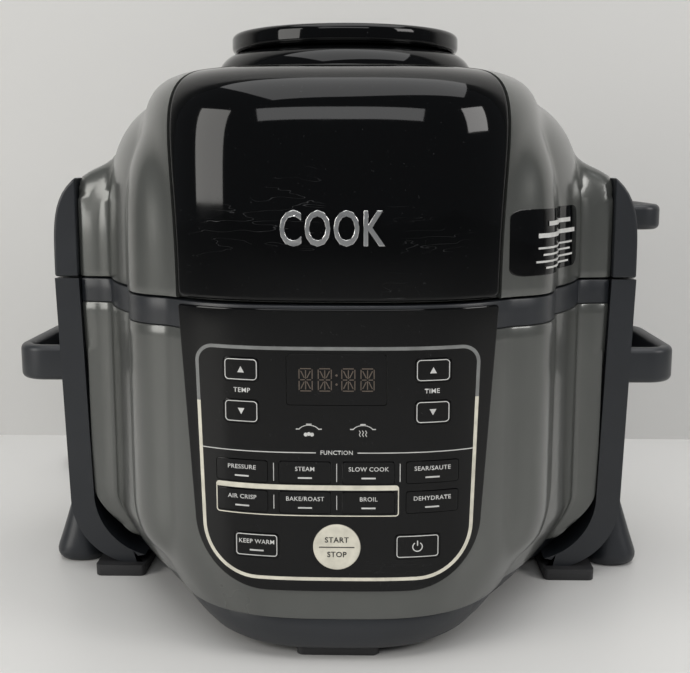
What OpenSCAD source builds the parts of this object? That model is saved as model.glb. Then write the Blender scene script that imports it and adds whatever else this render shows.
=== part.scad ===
// Electric pressure cooker with a hinged crisping lid.
// Frame: +Z up, -Y is the front. The origin is on the worktop, under the middle of the body.

/* [Overall size] */
// Width of the round body, side to side
body_w = 281; // [250:1:340]
// Front of the body, measured from its middle
front_d = 153; // [140:1:190]
// Height of the body, up to the seam with the lid
seam_z = 181; // [150:1:225]
// Height of the lid's dome above the seam
dome_h = 115; // [100:1:150]
// How far each side frame stands out from the round body
side_out = 29; // [22:1:36]
// Half width of the flatter front face
shield_x = 112; // [108:1:125]

/* [Body] */
// Wall thickness of the body and lid shells
wall = 2.5; // [2:0.1:4]
// Thickness of the side frames
frame_t = 17; // [12:1:20]
// Side frames and side panels in front of the middle
side_front = 34; // [28:1:50]
// Side frames and side panels behind the middle
side_back = 78; // [60:1:90]
// Height of the dark band under the seam
band_h = 14; // [10:1:20]
// Top of the dark rim at the bottom
rim_z = 24; // [18:1:30]
// Height of the feet
foot_h = 5; // [3:0.5:8]
// Radius of the rounded bottom corners of the side frames
corner_r = 32; // [24:1:36]

/* [Cooking pot] */
// Outer radius of the pot
pot_r = 117; // [100:1:119]
// Wall thickness of the pot
pot_t = 1.5; // [1:0.1:2.5]
// Height of the pot's floor above the worktop
pot_floor = 51; // [46:1:58]
// How far the pot's rim stands out from its wall
pot_rim = 7; // [5:0.5:8]
// Travel of the sensor under the pot
sensor_travel = 3; // [1:0.5:4]

/* [Control panel] */
// Thickness of the glossy fascia
fascia_t = 2; // [1.5:0.1:3]
// Width of the fascia
fascia_w = 155; // [135:1:165]
// Width and height of an arrow key
arrow_key = [17, 11.6]; // [8:0.1:18]
// Width and height of a function key
function_key = [25, 11]; // [8:0.1:26]
// Width and height of the two corner keys
corner_key = [21.6, 12.4]; // [8:0.1:24]
// Radius of the round start key
start_r = 11.6; // [8:0.1:13]
// Width and height of the display window
display = [48, 25]; // [20:1:50]
// Travel of every key
key_travel = 0.8; // [0.4:0.1:1]
// Gap round every key
key_gap = 0.4; // [0.3:0.05:0.6]

/* [Handles] */
// How far a side handle reaches out from its frame
handle_out = 27; // [22:1:40]
// Length of a side handle, front to back
handle_l = 98; // [70:1:100]
// Height of a side handle's bar
handle_h = 21; // [14:1:26]
// Thickness of a side handle's bar
handle_bar = 8; // [6:1:11]

/* [Lid] */
// Radius of the glossy ring on top
ring_r = 66.5; // [55:0.5:70]
// Height of the ring
ring_h = 11; // [8:0.5:14]
// Radius of the collar under the ring, where it meets the dome
collar_r = 76; // [71:0.5:80]
// Height of the collar
collar_h = 14; // [10:0.5:18]
// Gap between the lid and the body
seam_gap = 1; // [0.5:0.1:2]
// Radius of the hot-air fan
fan_r = 58; // [40:1:62]
// Radius of the motor shaft
shaft_r = 3; // [2.5:0.1:4]

/* [Hinge] */
// Radius of the hinge pin
pin_r = 3; // [2.5:0.1:4]
// Radius of the hinge knuckles
knuckle_r = 7; // [6:0.5:8]
// Length of the hinge, over both ears
hinge_l = 110; // [80:1:120]
// Radial clearance of pin and shaft
run_gap = 0.05; // [0.02:0.01:0.1]

/* [Cord] */
// Diameter of the power cord
cord_d = 8; // [7:0.5:9]

/* [Hidden] */
$fn = 64;
eps = 0.001;
big = 600;

charcoal = [0.16, 0.17, 0.17];
dark = [0.09, 0.1, 0.11];
glossy = [0.02, 0.02, 0.025];
steel = [0.7, 0.7, 0.7];

half_w = body_w / 2;
back_d = half_w;
frame_x = half_w + side_out;
panel_x = frame_x - frame_t;
band_z = seam_z - band_h;
lid_z = seam_z + seam_gap;
dome_top = lid_z + dome_h;
piece_gap = 0.3;
grid_n = 96;

// ---- outlines -------------------------------------------------------------------------

// Larger of two lengths, rounded over a width of k where they cross
function soft_max(a, b, k) =
    let (h = max(k - abs(a - b), 0) / k)
    max(a, b) + h * h * k / 4;

// Reach of a rounded outline at angle t: a sideways, bf to the front, bb to the back
function reach(t, a, bf, bb, p) =
    pow(pow(abs(cos(t)) / a, p) + pow(abs(sin(t)) / (sin(t) < 0 ? bf : bb), p), -1 / p);

// The round body, with a flatter face that stands out at the front
shield_p = 3;
shield_back = back_d - 16;
shield_blend = 5;
function shield(t, grow = 0) = reach(t, shield_x + grow, front_d + grow, shield_back + grow, shield_p);
function barrel(t, grow = 0) = soft_max(half_w + grow, shield(t, grow), shield_blend);

// The side panels, flat against the side frames
side_p = 9;
function side(t, grow = 0) =
    min(reach(t, frame_x + grow, side_front + grow, side_back + grow, side_p),
        (panel_x + grow) / (abs(cos(t)) + eps));

skin_blend = 6;
function skin(t, grow = 0) = soft_max(barrel(t, grow), side(t, grow), skin_blend);

// Angles of the outlines' points, closer together at the sides
outline_angles = [for (i = [0:grid_n - 1]) let (s = i * 360 / grid_n) s - 6 * sin(2 * s)];
module barrel_2d(grow = 0)
    polygon([for (t = outline_angles) barrel(t, grow) * [cos(t), sin(t)]]);
module skin_2d(grow = 0)
    polygon([for (t = outline_angles) skin(t, grow) * [cos(t), sin(t)]]);

module ring_2d(outer, inner)
    difference() {
        circle(outer);
        circle(inner);
    }

module on_face(z, h)
    translate([0, 0, z]) linear_extrude(h) children();

// Stands an outline drawn in X and Z up, and runs it from y0 to y1
module front_to_back(y0, y1)
    translate([0, y1, 0]) rotate([90, 0, 0]) linear_extrude(y1 - y0) children();

// ---- body -----------------------------------------------------------------------------

// Front view of the side frames: straight sides that lean in and rounded bottom corners
lean = 4;
module frame_profile(x, z0, r)
    hull() {
        for (s = [-1, 1]) {
            translate([s * (x - 1), seam_z - 1]) square(2, center = true);
            translate([s * (x - lean - r), z0 + r]) circle(r);
        }
    }

panel_corner = corner_r - 8;
module base_shell()
    color(charcoal)
    difference() {
        intersection() {
            on_face(rim_z, band_z - rim_z) skin_2d();
            front_to_back(-big, big) frame_profile(panel_x, rim_z - panel_corner / 3, panel_corner);
        }
        on_face(0, seam_z) skin_2d(-wall);
    }

module bottom_rim()
    color(dark)
    on_face(foot_h, rim_z - foot_h)
    difference() {
        barrel_2d(-1);
        barrel_2d(-1 - wall);
    }

vent_slots = 9;
vent_pitch = 14;
cover_t = 2.5;
screw_ring = 100;
screw_r = 2;
screw_n = 4;
module at_screws()
    for (i = [0:screw_n - 1])
        rotate([0, 0, 45 + i * 360 / screw_n]) translate([screw_ring, 0, 0]) children();

module bottom_cover()
    color(dark)
    on_face(foot_h + 1, cover_t)
    difference() {
        barrel_2d(-1 - wall - piece_gap);
        for (i = [0:vent_slots - 1])
            translate([(i - (vent_slots - 1) / 2) * vent_pitch, 0]) square([5, 70], center = true);
        at_screws() circle(screw_r + 0.2);
    }

module base_screws()
    color(steel)
    at_screws() {
        translate([0, 0, foot_h + 1 - 1.6]) cylinder(r = 2 * screw_r, h = 1.6);
        translate([0, 0, foot_h + 1]) cylinder(r = screw_r, h = 10);
    }

foot_w = 42;
foot_l = 13;
side_foot = [30, 40];
side_foot_x = half_w - 5;
side_foot_y = -side_front + side_foot[1] / 2 - 6;
module feet()
    color(dark) {
        for (y = [-front_d + foot_l + 4, back_d - foot_l - 4])
            translate([-foot_w / 2, y - foot_l / 2, 0]) cube([foot_w, foot_l, foot_h]);
        for (s = [-1, 1])
            translate([s * side_foot_x - side_foot[0] / 2, side_foot_y - side_foot[1] / 2, 0])
                cube([side_foot[0], side_foot[1], foot_h]);
    }

module side_frame(s)
    color(dark)
    intersection() {
        difference() {
            front_to_back(-side_front, side_back) frame_profile(frame_x, foot_h, corner_r);
            front_to_back(-side_front + 4, side_back - 4)
                frame_profile(frame_x - wall, foot_h + wall, corner_r - wall);
            front_to_back(-big, big)
                frame_profile(panel_x + piece_gap, rim_z - panel_corner / 3, panel_corner);
            on_face(-1, rim_z + 2) barrel_2d(piece_gap);
        }
        translate([s > 0 ? 0 : -big, -big / 2, 0]) cube([big, big, seam_z]);
    }

leg_y0 = -18;
leg_l = 80;
leg_h = 58;
leg_out = 13;
leg_in = 18;
leg_t = 4;
leg_top = [8, 50];
leg_sink = 6;
module side_legs()
    color(dark)
    for (s = [-1, 1])
        difference() {
            hull() {
                translate([s * (frame_x + (leg_out - leg_in) / 2) - (leg_in + leg_out) / 2, leg_y0, 0])
                    cube([leg_in + leg_out, leg_l, leg_t]);
                translate([s * (frame_x - leg_sink) - leg_top[0] / 2,
                        leg_y0 + (leg_l - leg_top[1]) / 2, leg_h - leg_t])
                    cube([leg_top[0], leg_top[1], leg_t]);
            }
            front_to_back(-big, big) frame_profile(frame_x + piece_gap, foot_h - piece_gap, corner_r);
            on_face(-1, rim_z + 2) barrel_2d(piece_gap);
        }

handle_z = 130;
handle_y = 16;
handle_round = 16;
module handle(s)
    color(dark)
    translate([s * frame_x, handle_y, handle_z - handle_h / 2])
    linear_extrude(handle_h)
    intersection() {
        difference() {
            handle_outline(handle_out, handle_l, handle_round);
            handle_outline(handle_out - handle_bar, handle_l - 2 * handle_bar, handle_round - handle_bar);
        }
        translate([s > 0 ? 0 : -big, -big / 2]) square(big);
    }
module handle_outline(out, l, r)
    for (s = [-1, 1]) {
        translate([-out + r, s * (l / 2 - r)]) circle(r);
        translate([out - r, s * (l / 2 - r)]) circle(r);
        translate([-out, -l / 2 + r]) square([2 * out, l - 2 * r]);
        translate([-out + r, -l / 2]) square([2 * (out - r), l]);
    }

ledge_h = 7;
hole_r = pot_r + 1.5;
ledge_r = pot_r + pot_rim + 1;
module top_band()
    color(dark)
    difference() {
        on_face(band_z, band_h) skin_2d(-0.5);
        translate([0, 0, band_z - 1]) cylinder(r = hole_r, h = band_h + 2);
        translate([0, 0, seam_z - ledge_h]) cylinder(r = ledge_r, h = ledge_h + 1);
    }

housing_z = 33;
plate_z = pot_floor - 12;
plate_r = 88;
sensor_r = 12;
sensor_gap = 0.5;
module heater_housing()
    color(steel)
    difference() {
        translate([0, 0, housing_z]) cylinder(r = hole_r + 1.5, h = band_z - housing_z);
        translate([0, 0, housing_z + 1]) cylinder(r = hole_r, h = band_z);
        translate([0, 0, housing_z - 1]) cylinder(r = sensor_r + 2, h = 3);
    }

module heating_plate()
    color(steel)
    difference() {
        union() {
            translate([0, 0, plate_z]) cylinder(r = plate_r, h = pot_floor - plate_z - 0.2);
            translate([0, 0, housing_z + 1]) cylinder(r = sensor_r + 8, h = plate_z - housing_z - 1);
        }
        cylinder(r = sensor_r + sensor_gap, h = pot_floor);
    }

rim_t = 1.5;
module cooking_pot()
    color(glossy) {
        difference() {
            translate([0, 0, pot_floor]) cylinder(r = pot_r, h = seam_z - ledge_h - pot_floor + rim_t);
            translate([0, 0, pot_floor + pot_t]) cylinder(r = pot_r - pot_t, h = seam_z);
        }
        translate([0, 0, seam_z - ledge_h]) linear_extrude(rim_t) ring_2d(pot_r + pot_rim, pot_r);
    }

sensor_h = 5;
stem_r = 4;
module pot_sensor()
    color(steel) {
        translate([0, 0, pot_floor - piece_gap - sensor_h]) cylinder(r = sensor_r, h = sensor_h);
        translate([0, 0, pot_floor - piece_gap - sensor_h - 12]) cylinder(r = stem_r, h = 12);
    }

spring_r = 6.5;
module sensor_spring()
    color(steel)
    translate([0, 0, housing_z + 0.5])
    linear_extrude(pot_floor - sensor_h - housing_z - 1) ring_2d(spring_r + 0.8, spring_r - 0.8);

// ---- control panel --------------------------------------------------------------------

arrow_x = 45.3;
arrow_z = [150, 129.5];
column_x = [-45.5, -15.3, 15.3, 45.5];
row_z = [100, 85];
corner_x = 38.8;
corner_z = 62.5;
display_z = 145.7;
key_t = 1.7;
key_proud = 0.6;

// Depth and turn of the front face at a distance x from the middle
function face_y(x) = -front_d * pow(1 - pow(abs(x) / shield_x, shield_p), 1 / shield_p);
function face_turn(x) =
    let (u = abs(x) / shield_x)
    sign(x) * atan(front_d / shield_x * pow(u, shield_p - 1) * pow(1 - pow(u, shield_p), 1 / shield_p - 1));

// Puts its children on the front face: Z becomes outwards, Y stays up
module on_panel(x, z, out = 0)
    translate([x, face_y(x), z]) rotate([0, 0, face_turn(x)]) rotate([90, 0, 0])
        translate([0, 0, out]) children();

module key(x, z, size)
    color(glossy)
    on_panel(x, z, fascia_t + key_proud - key_t) linear_extrude(key_t) square(size, center = true);

module round_key(x, z, r)
    color([0.8, 0.78, 0.7])
    on_panel(x, z, fascia_t + key_proud - key_t) cylinder(r = r, h = key_t);

module key_hole(x, z, size)
    on_panel(x, z, -5)
        linear_extrude(10) square([size[0] + 2 * key_gap, size[1] + 2 * key_gap], center = true);

fascia_top = seam_z - 1.5;
fascia_bottom = 39.5;
fascia_corner = 36;
module fascia_profile()
    hull() {
        for (s = [-1, 1]) {
            translate([s * (fascia_w / 2 - 1), fascia_top - 1]) circle(1);
            translate([s * (fascia_w / 2 - 7 - fascia_corner), fascia_bottom + fascia_corner])
                circle(fascia_corner);
        }
    }

module fascia()
    color(glossy)
    difference() {
        intersection() {
            on_face(0, seam_z)
                difference() {
                    barrel_2d(fascia_t);
                    barrel_2d(0);
                }
            front_to_back(-big, -back_d / 2) fascia_profile();
        }
        for (s = [-1, 1], z = arrow_z) key_hole(s * arrow_x, z, arrow_key);
        for (x = column_x, z = row_z) key_hole(x, z, function_key);
        for (s = [-1, 1]) key_hole(s * corner_x, corner_z, corner_key);
        on_panel(0, corner_z, -5) cylinder(r = start_r + key_gap, h = 10);
        key_hole(0, display_z, [display[0] - 2 * key_gap + 0.1, display[1] - 2 * key_gap + 0.1]);
    }

module display_window()
    color(glossy)
    intersection() {
        on_face(display_z - display[1] / 2, display[1])
            difference() {
                barrel_2d(fascia_t - 0.2);
                barrel_2d(0.1);
            }
        translate([-display[0] / 2, -big, 0]) cube([display[0], big, seam_z]);
    }

board_y = -front_d + 24;
module control_board()
    color([0.1, 0.35, 0.15])
    translate([-55, board_y, 50]) cube([110, 1.6, 110]);

module power_board()
    color([0.1, 0.35, 0.15])
    translate([-45, -45, 12]) {
        cube([90, 90, 1.6]);
        translate([10, 12, 1.6]) cube([22, 26, 14]);
        translate([55, 20, 1.6]) cylinder(r = 8, h = 15);
    }

// ---- hinge and back -------------------------------------------------------------------

hinge_y = front_d + fascia_t + key_proud - knuckle_r;
hinge_z = seam_z + 3;
ear_w = 12;
bracket_drop = 28;
module hinge_bracket()
    color(dark)
    difference() {
        for (s = [-1, 1])
            translate([s > 0 ? hinge_l / 2 - ear_w : -hinge_l / 2, 0, 0]) {
                translate([0, hinge_y, hinge_z]) rotate([0, 90, 0]) cylinder(r = knuckle_r, h = ear_w);
                translate([0, barrel_back, hinge_z - bracket_drop])
                    cube([ear_w, hinge_y + knuckle_r - barrel_back, bracket_drop]);
            }
        pin_bore(hinge_l + 2, run_gap);
        on_face(0, seam_z + dome_h) barrel_2d(piece_gap);
    }
barrel_back = back_d * sqrt(1 - pow(hinge_l / 2 / half_w, 2)) - 2;

module pin_bore(l, gap)
    translate([-l / 2, hinge_y, hinge_z]) rotate([0, 90, 0]) cylinder(r = pin_r + gap, h = l);

module hinge_pin()
    color(steel)
    translate([-hinge_l / 2, hinge_y, hinge_z]) rotate([0, 90, 0]) cylinder(r = pin_r, h = hinge_l);

arm_w = 60;
arm_up = 16;
module hinge_arm()
    color(dark)
    difference() {
        union() {
            translate([-arm_w / 2, hinge_y, hinge_z]) rotate([0, 90, 0]) cylinder(r = knuckle_r, h = arm_w);
            translate([-arm_w / 2, back_d - 4, hinge_z]) cube([arm_w, hinge_y - back_d + 8, arm_up]);
            translate([-arm_w / 2, back_d - 4, lid_z + 0.5])
                cube([arm_w, hinge_y - back_d + 4, hinge_z - lid_z]);
        }
        pin_bore(arm_w + 2, run_gap);
        on_face(0, seam_z + dome_h) barrel_2d(piece_gap);
    }

cup_w = 60;
cup_d = 14;
cup_z = 70;
cup_h = 62;
cup_y = back_d + 0.6;
module drip_cup()
    color([0.25, 0.27, 0.28])
    difference() {
        translate([-cup_w / 2, cup_y, cup_z]) cube([cup_w, cup_d, cup_h]);
        translate([-cup_w / 2 + 1.5, cup_y + 1.5, cup_z + 1.5]) cube([cup_w - 3, cup_d - 3, cup_h]);
    }

// ---- power cord -----------------------------------------------------------------------

cord_r = cord_d / 2;
exit_x = -70;
exit_z = 34;
relief_l = 30;
relief_y = back_d * sqrt(1 - pow(exit_x / half_w, 2)) - 3;
// Middle of the coil, and the radii of its band
coil_pos = [-186, 218];
coil_in = 36;
coil_out = 54;
// Points along the cord, from the strain relief to the coil
cord_path = [[-70, 148, 34], [-70, 154, 33.5], [-70, 161, 31.5], [-71, 169, 28], [-72, 177, 23],
    [-74, 186, 17.5], [-76, 196, 12], [-79, 206, 8], [-83, 217, 5], [-89, 228, 4], [-97, 238, 4],
    [-107, 247, 4], [-119, 255, 4], [-132, 261, 4], [-146, 265, 4], [-158, 267, 4],
    [-168, 268, 4], [-178, 268, 4]];
// Points from the coil to the plug
cord_tail = [[-168, 166, 12], [-160, 164, 12], [-152, 161, 11.5], [-146, 158, 11], [-142, 156, 10]];
cord_sides = 10;

module strain_relief()
    color(dark)
    difference() {
        translate([exit_x, relief_y, exit_z]) rotate([-90, 0, 0])
            cylinder(r1 = 8, r2 = cord_r + 1, h = relief_l);
        on_face(0, seam_z) skin_2d(0);
    }

// Sweeps a round section along a list of points
function heading(p, i) =
    let (a = p[max(i - 1, 0)], b = p[min(i + 1, len(p) - 1)], d = b - a) d / norm(d);
function ring_at(p, i, r) =
    let (d = heading(p, i), u = cross(d, [0, 0, 1]) / norm(cross(d, [0, 0, 1])), v = cross(u, d))
    [for (k = [0:cord_sides - 1]) let (a = k * 360 / cord_sides) p[i] + r * (cos(a) * u + sin(a) * v)];
module swept_tube(p, r) {
    n = len(p);
    m = cord_sides;
    sides = [for (i = [0:n - 2], k = [0:m - 1])
        [i * m + k, i * m + (k + 1) % m, (i + 1) * m + (k + 1) % m, (i + 1) * m + k]];
    caps = [[for (k = [m - 1:-1:0]) k], [for (k = [0:m - 1]) (n - 1) * m + k]];
    polyhedron([for (i = [0:n - 1]) each ring_at(p, i, r)], concat(sides, caps));
}

module power_cord()
    color(glossy)
    {
        swept_tube(cord_path, cord_r - 0.05);
        swept_tube(cord_tail, cord_r - 0.05);
    }

module cord_coil()
    color(glossy)
    translate([coil_pos[0], coil_pos[1], 0]) linear_extrude(2 * cord_d) ring_2d(coil_out, coil_in);

plug_l = 42;
plug_w = 26;
plug_h = 20;
blade = [16, 1.6, 6.5];
module mains_plug()
    color(glossy)
    translate([cord_tail[4][0], cord_tail[4][1] - plug_w / 2, 0]) {
        cube([plug_l, plug_w, plug_h]);
        for (y = [6, plug_w - 6 - blade[1]])
            translate([plug_l, y, plug_h / 2 - blade[2] / 2]) cube(blade);
    }

// ---- lid ------------------------------------------------------------------------------

// Reach of a rounded solid from the middle of the seam, in the direction t around and e upwards
function solid_reach(t, e, a, bf, bb, c, p, q) =
    pow(pow(cos(e) / reach(t, a, bf, bb, p), q) + pow(sin(e) / c, q), -1 / q);

cheek_q = 4.2;
visor_q = 8;
pod_h = 74;
pod_q = 4.5;
lid_blend = 5;
// The side panels stop at the flat inner faces of the lid caps
function pod_reach(t, e, off) =
    min(solid_reach(t, e, frame_x + off, side_front + off, side_back + off, pod_h + off, side_p, pod_q),
        (panel_x + off) / (cos(e) * (abs(cos(t)) + eps)));
function lid_reach(t, e, off = 0) =
    soft_max(
        soft_max(
            solid_reach(t, e, half_w + off, half_w + off, half_w + off, dome_h - 3 + off, 2, cheek_q),
            solid_reach(t, e, shield_x + off, front_d + off, shield_back + off, dome_h + off,
                shield_p, visor_q), lid_blend),
        pod_reach(t, e, off), lid_blend);

// Height of the dome at a distance r from its middle
function dome_z(t, r, off = 0) =
    (dome_h + off) * pow(1 - pow(r / shield(t), visor_q), 1 / visor_q);

rise = [0, 4, 8, 13, 18, 23, 28, 33, 38, 43, 48, 52];
lid_n = 72;
function lid_angle(i) = let (s = i * 360 / lid_n) s - 6 * sin(2 * s);
function lid_point(t, e, off) =
    let (d = lid_reach(t, e, off)) [d * cos(e) * cos(t), d * cos(e) * sin(t), d * sin(e)];
function collar_point(t, off) = [collar_r * cos(t), collar_r * sin(t), dome_z(t, collar_r, off)];

// The glossy panel covers these turns and rises
panel_turn = 31;
panel_rise = 43;
function under_panel(t, e) = abs(t - 270) <= panel_turn + 2 && e <= panel_rise;

module lid_shell() {
    outer = [for (e = rise) [for (i = [0:lid_n - 1]) let (t = lid_angle(i))
        lid_point(t, e, under_panel(t, e) ? -3 : 0)]];
    inner = [for (k = [len(rise) - 1:-1:0]) [for (i = [0:lid_n - 1])
        lid_point(lid_angle(i), rise[k], under_panel(lid_angle(i), rise[k]) ? -wall - 3 : -wall)]];
    top = [[for (i = [0:lid_n - 1]) collar_point(lid_angle(i), 0)],
        [for (i = [0:lid_n - 1]) collar_point(lid_angle(i), -wall)]];
    rings = concat(outer, top, inner);
    m = len(rings);
    color(charcoal)
    translate([0, 0, lid_z])
    polyhedron([for (r = rings) each r],
        [for (j = [0:m - 1], i = [0:lid_n - 1])
            [j * lid_n + i, ((j + 1) % m) * lid_n + i,
                ((j + 1) % m) * lid_n + (i + 1) % lid_n, j * lid_n + (i + 1) % lid_n]]);
}

panel_n = 16;
panel_t = 2.4;
module lid_front_panel() {
    rows = [for (e = rise) if (e <= panel_rise - 3) e];
    turns = [for (i = [0:panel_n]) 270 - panel_turn + i * 2 * panel_turn / panel_n];
    w = panel_n + 1;
    k = len(rows) * w;
    n = len(rows);
    points = concat(
        [for (e = rows, t = turns) lid_point(t, e, 0)],
        [for (e = rows, t = turns) lid_point(t, e, -panel_t)]);
    front = [for (j = [0:n - 2], i = [0:w - 2])
        [j * w + i, (j + 1) * w + i, (j + 1) * w + i + 1, j * w + i + 1]];
    back = [for (f = front) [k + f[3], k + f[2], k + f[1], k + f[0]]];
    edge = concat([for (i = [0:w - 1]) i], [for (j = [1:n - 1]) j * w + w - 1],
        [for (i = [w - 2:-1:0]) (n - 1) * w + i], [for (j = [n - 2:-1:1]) j * w]);
    walls = [for (i = [0:len(edge) - 1])
        let (a = edge[i], b = edge[(i + 1) % len(edge)]) [a, b, k + b, k + a]];
    color(glossy)
    translate([0, 0, lid_z])
    polyhedron(points, concat(front, back, walls));
}

// Front view of a lid cap, from the side panel out to the frame's width
cap_in = panel_x + piece_gap;
cap_n = 36;
function cap_reach(e) = solid_reach(0, e, frame_x, frame_x, frame_x, pod_h, 2, pod_q);
module cap_profile()
    polygon(concat([[cap_in, 0]],
        [for (i = [0:cap_n]) let (e = i * 90 / cap_n) if (cap_reach(e) * cos(e) > cap_in)
            cap_reach(e) * [cos(e), sin(e)]],
        [[cap_in, pod_h * pow(1 - pow(cap_in / frame_x, pod_q), 1 / pod_q)]]));
cap_hollow = 37;
module lid_cap()
    color(dark)
    translate([0, 0, lid_z])
    front_to_back(-side_front, side_back)
    difference() {
        cap_profile();
        translate([-wall, -eps]) intersection() {
            cap_profile();
            square([big, cap_hollow]);
        }
    }

// The collar curls in from its foot to the ring, as a quarter of an ellipse
collar_z = lid_z + dome_z(0, collar_r) + piece_gap;
collar_top_r = ring_r - 6;
collar_curl = collar_r - 1 - collar_top_r;
collar_t = 3;
collar_n = 8;
function curl(a, sink) = [collar_top_r - sink + collar_curl * cos(a), collar_z + (collar_h - sink) * sin(a)];
module lid_collar()
    color(glossy)
    rotate_extrude()
    polygon(concat(
        [for (i = [0:collar_n]) curl(i * 90 / collar_n, 0)],
        [[ring_in, collar_z + collar_h]],
        [for (i = [collar_n:-1:0]) curl(i * 90 / collar_n, collar_t)]));

ring_z = collar_z + collar_h;
ring_in = ring_r - 9;
ring_round = 3.5;
module lid_ring()
    color(glossy)
    rotate_extrude() {
        translate([ring_in, ring_z + ring_round]) square([ring_r - ring_in, ring_h - 2 * ring_round]);
        translate([ring_in, ring_z]) square([ring_r - ring_in - ring_round, ring_h]);
        for (z = [ring_z + ring_round, ring_z + ring_h - ring_round])
            translate([ring_r - ring_round, z]) circle(ring_round);
    }

cover_slots = 24;
module vent_cover()
    color(dark)
    translate([0, 0, ring_z + 2])
    difference() {
        cylinder(r = ring_in - 0.2, h = 3);
        for (i = [0:cover_slots - 1])
            rotate([0, 0, i * 360 / cover_slots]) translate([22, -1.5, -1]) cube([24, 3, 5]);
    }

lid_handle_l = 70;
lid_handle_out = 20;
lid_handle_z = 34;
lid_handle_t = 15;
lid_handle_round = 10;
handle_root = 6;
module lid_handle()
    color(dark)
    difference() {
        translate([frame_x, side_back / 2 - side_front / 2, lid_z + lid_handle_z - lid_handle_t / 2])
            linear_extrude(lid_handle_t)
            difference() {
                handle_outline(lid_handle_out, lid_handle_l, lid_handle_round);
                handle_outline(lid_handle_out - handle_bar, lid_handle_l - 2 * handle_bar,
                    lid_handle_round / 2);
                translate([-big - handle_root, -big / 2]) square(big);
            }
        translate([0, 0, lid_z]) front_to_back(-big, big) cap_profile();
    }

liner_z = lid_z + 0.5;
liner_r = pot_r - 5;
flange_r = half_w - 16;
liner_h = 44;
liner_t = 1.2;
module lid_liner()
    color(steel)
    difference() {
        union() {
            translate([0, 0, liner_z]) cylinder(r = flange_r, h = liner_t);
            translate([0, 0, liner_z]) cylinder(r = liner_r, h = liner_h);
        }
        translate([0, 0, liner_z - 1]) cylinder(r = liner_r - liner_t, h = liner_h - liner_t + 1);
        translate([0, 0, liner_z]) cylinder(r = shaft_r + 3, h = liner_h + 1);
    }

tube_r = 4;
module heating_coil()
    color(steel)
    for (r = [76, 90])
        translate([0, 0, liner_z + 14]) rotate_extrude() translate([r, 0]) circle(tube_r);

guard_bars = 9;
module fan_guard()
    color(steel)
    translate([0, 0, liner_z + 2])
    linear_extrude(2) {
        ring_2d(liner_r - liner_t - piece_gap, liner_r - 9);
        intersection() {
            circle(liner_r - 8);
            for (i = [0:guard_bars - 1])
                translate([(i - (guard_bars - 1) / 2) * 22 - 1, -big / 2]) square([2, big]);
        }
    }

motor_r = 29;
motor_h = 28;
motor_z = liner_z + liner_h;
module fan_motor()
    color(steel)
    difference() {
        translate([0, 0, motor_z]) cylinder(r = motor_r, h = motor_h);
        translate([0, 0, motor_z - 1]) cylinder(r = shaft_r + run_gap, h = motor_h + 2);
    }

blades = 10;
module fan(z, r, h, hub_r) {
    translate([0, 0, z])
    difference() {
        union() {
            cylinder(r = hub_r, h = h);
            cylinder(r = r, h = 1.5);
            for (i = [0:blades - 1])
                rotate([0, 0, i * 360 / blades]) translate([hub_r - 1, -0.8, 0]) cube([r - hub_r, 1.6, h]);
        }
        translate([0, 0, -1]) cylinder(r = shaft_r, h = h + 2);
    }
}
hot_fan_z = liner_z + 22;
cool_fan_z = motor_z + motor_h + 3;
fan_h = 13;
module hot_air_fan() color(steel) fan(hot_fan_z, fan_r, fan_h, 9);
module cooling_fan() color(dark) fan(cool_fan_z, fan_r - 14, fan_h - 4, 9);
module motor_shaft()
    color(steel)
    translate([0, 0, hot_fan_z - 2]) cylinder(r = shaft_r, h = cool_fan_z + fan_h - hot_fan_z);

// ---- assembly -------------------------------------------------------------------------

base_shell();
bottom_rim();
bottom_cover();
base_screws();
feet();
side_legs();
side_frame(-1);  // side_frame_left
side_frame(1);  // side_frame_right
handle(-1);  // handle_left
handle(1);  // handle_right
top_band();
heater_housing();
heating_plate();
cooking_pot();
pot_sensor();
sensor_spring();
fascia();
display_window();
control_board();
power_board();
key(-arrow_x, arrow_z[0], arrow_key);  // key_temp_up
key(-arrow_x, arrow_z[1], arrow_key);  // key_temp_down
key(arrow_x, arrow_z[0], arrow_key);  // key_time_up
key(arrow_x, arrow_z[1], arrow_key);  // key_time_down
key(column_x[0], row_z[0], function_key);  // key_pressure
key(column_x[1], row_z[0], function_key);  // key_steam
key(column_x[2], row_z[0], function_key);  // key_slow_cook
key(column_x[3], row_z[0], function_key);  // key_sear
key(column_x[0], row_z[1], function_key);  // key_air_crisp
key(column_x[1], row_z[1], function_key);  // key_bake
key(column_x[2], row_z[1], function_key);  // key_broil
key(column_x[3], row_z[1], function_key);  // key_dehydrate
key(-corner_x, corner_z, corner_key);  // key_keep_warm
round_key(0, corner_z, start_r);  // key_start_stop
key(corner_x, corner_z, corner_key);  // key_power
hinge_bracket();
hinge_pin();
drip_cup();
strain_relief();
power_cord();
cord_coil();
mains_plug();
lid_shell();
lid_front_panel();
mirror([1, 0, 0]) lid_cap();  // lid_cap_left
lid_cap();  // lid_cap_right
lid_collar();
lid_ring();
vent_cover();
lid_handle();
lid_liner();
heating_coil();
fan_guard();
fan_motor();
hinge_arm();
motor_shaft();
hot_air_fan();
cooling_fan();
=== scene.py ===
import math

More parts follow.
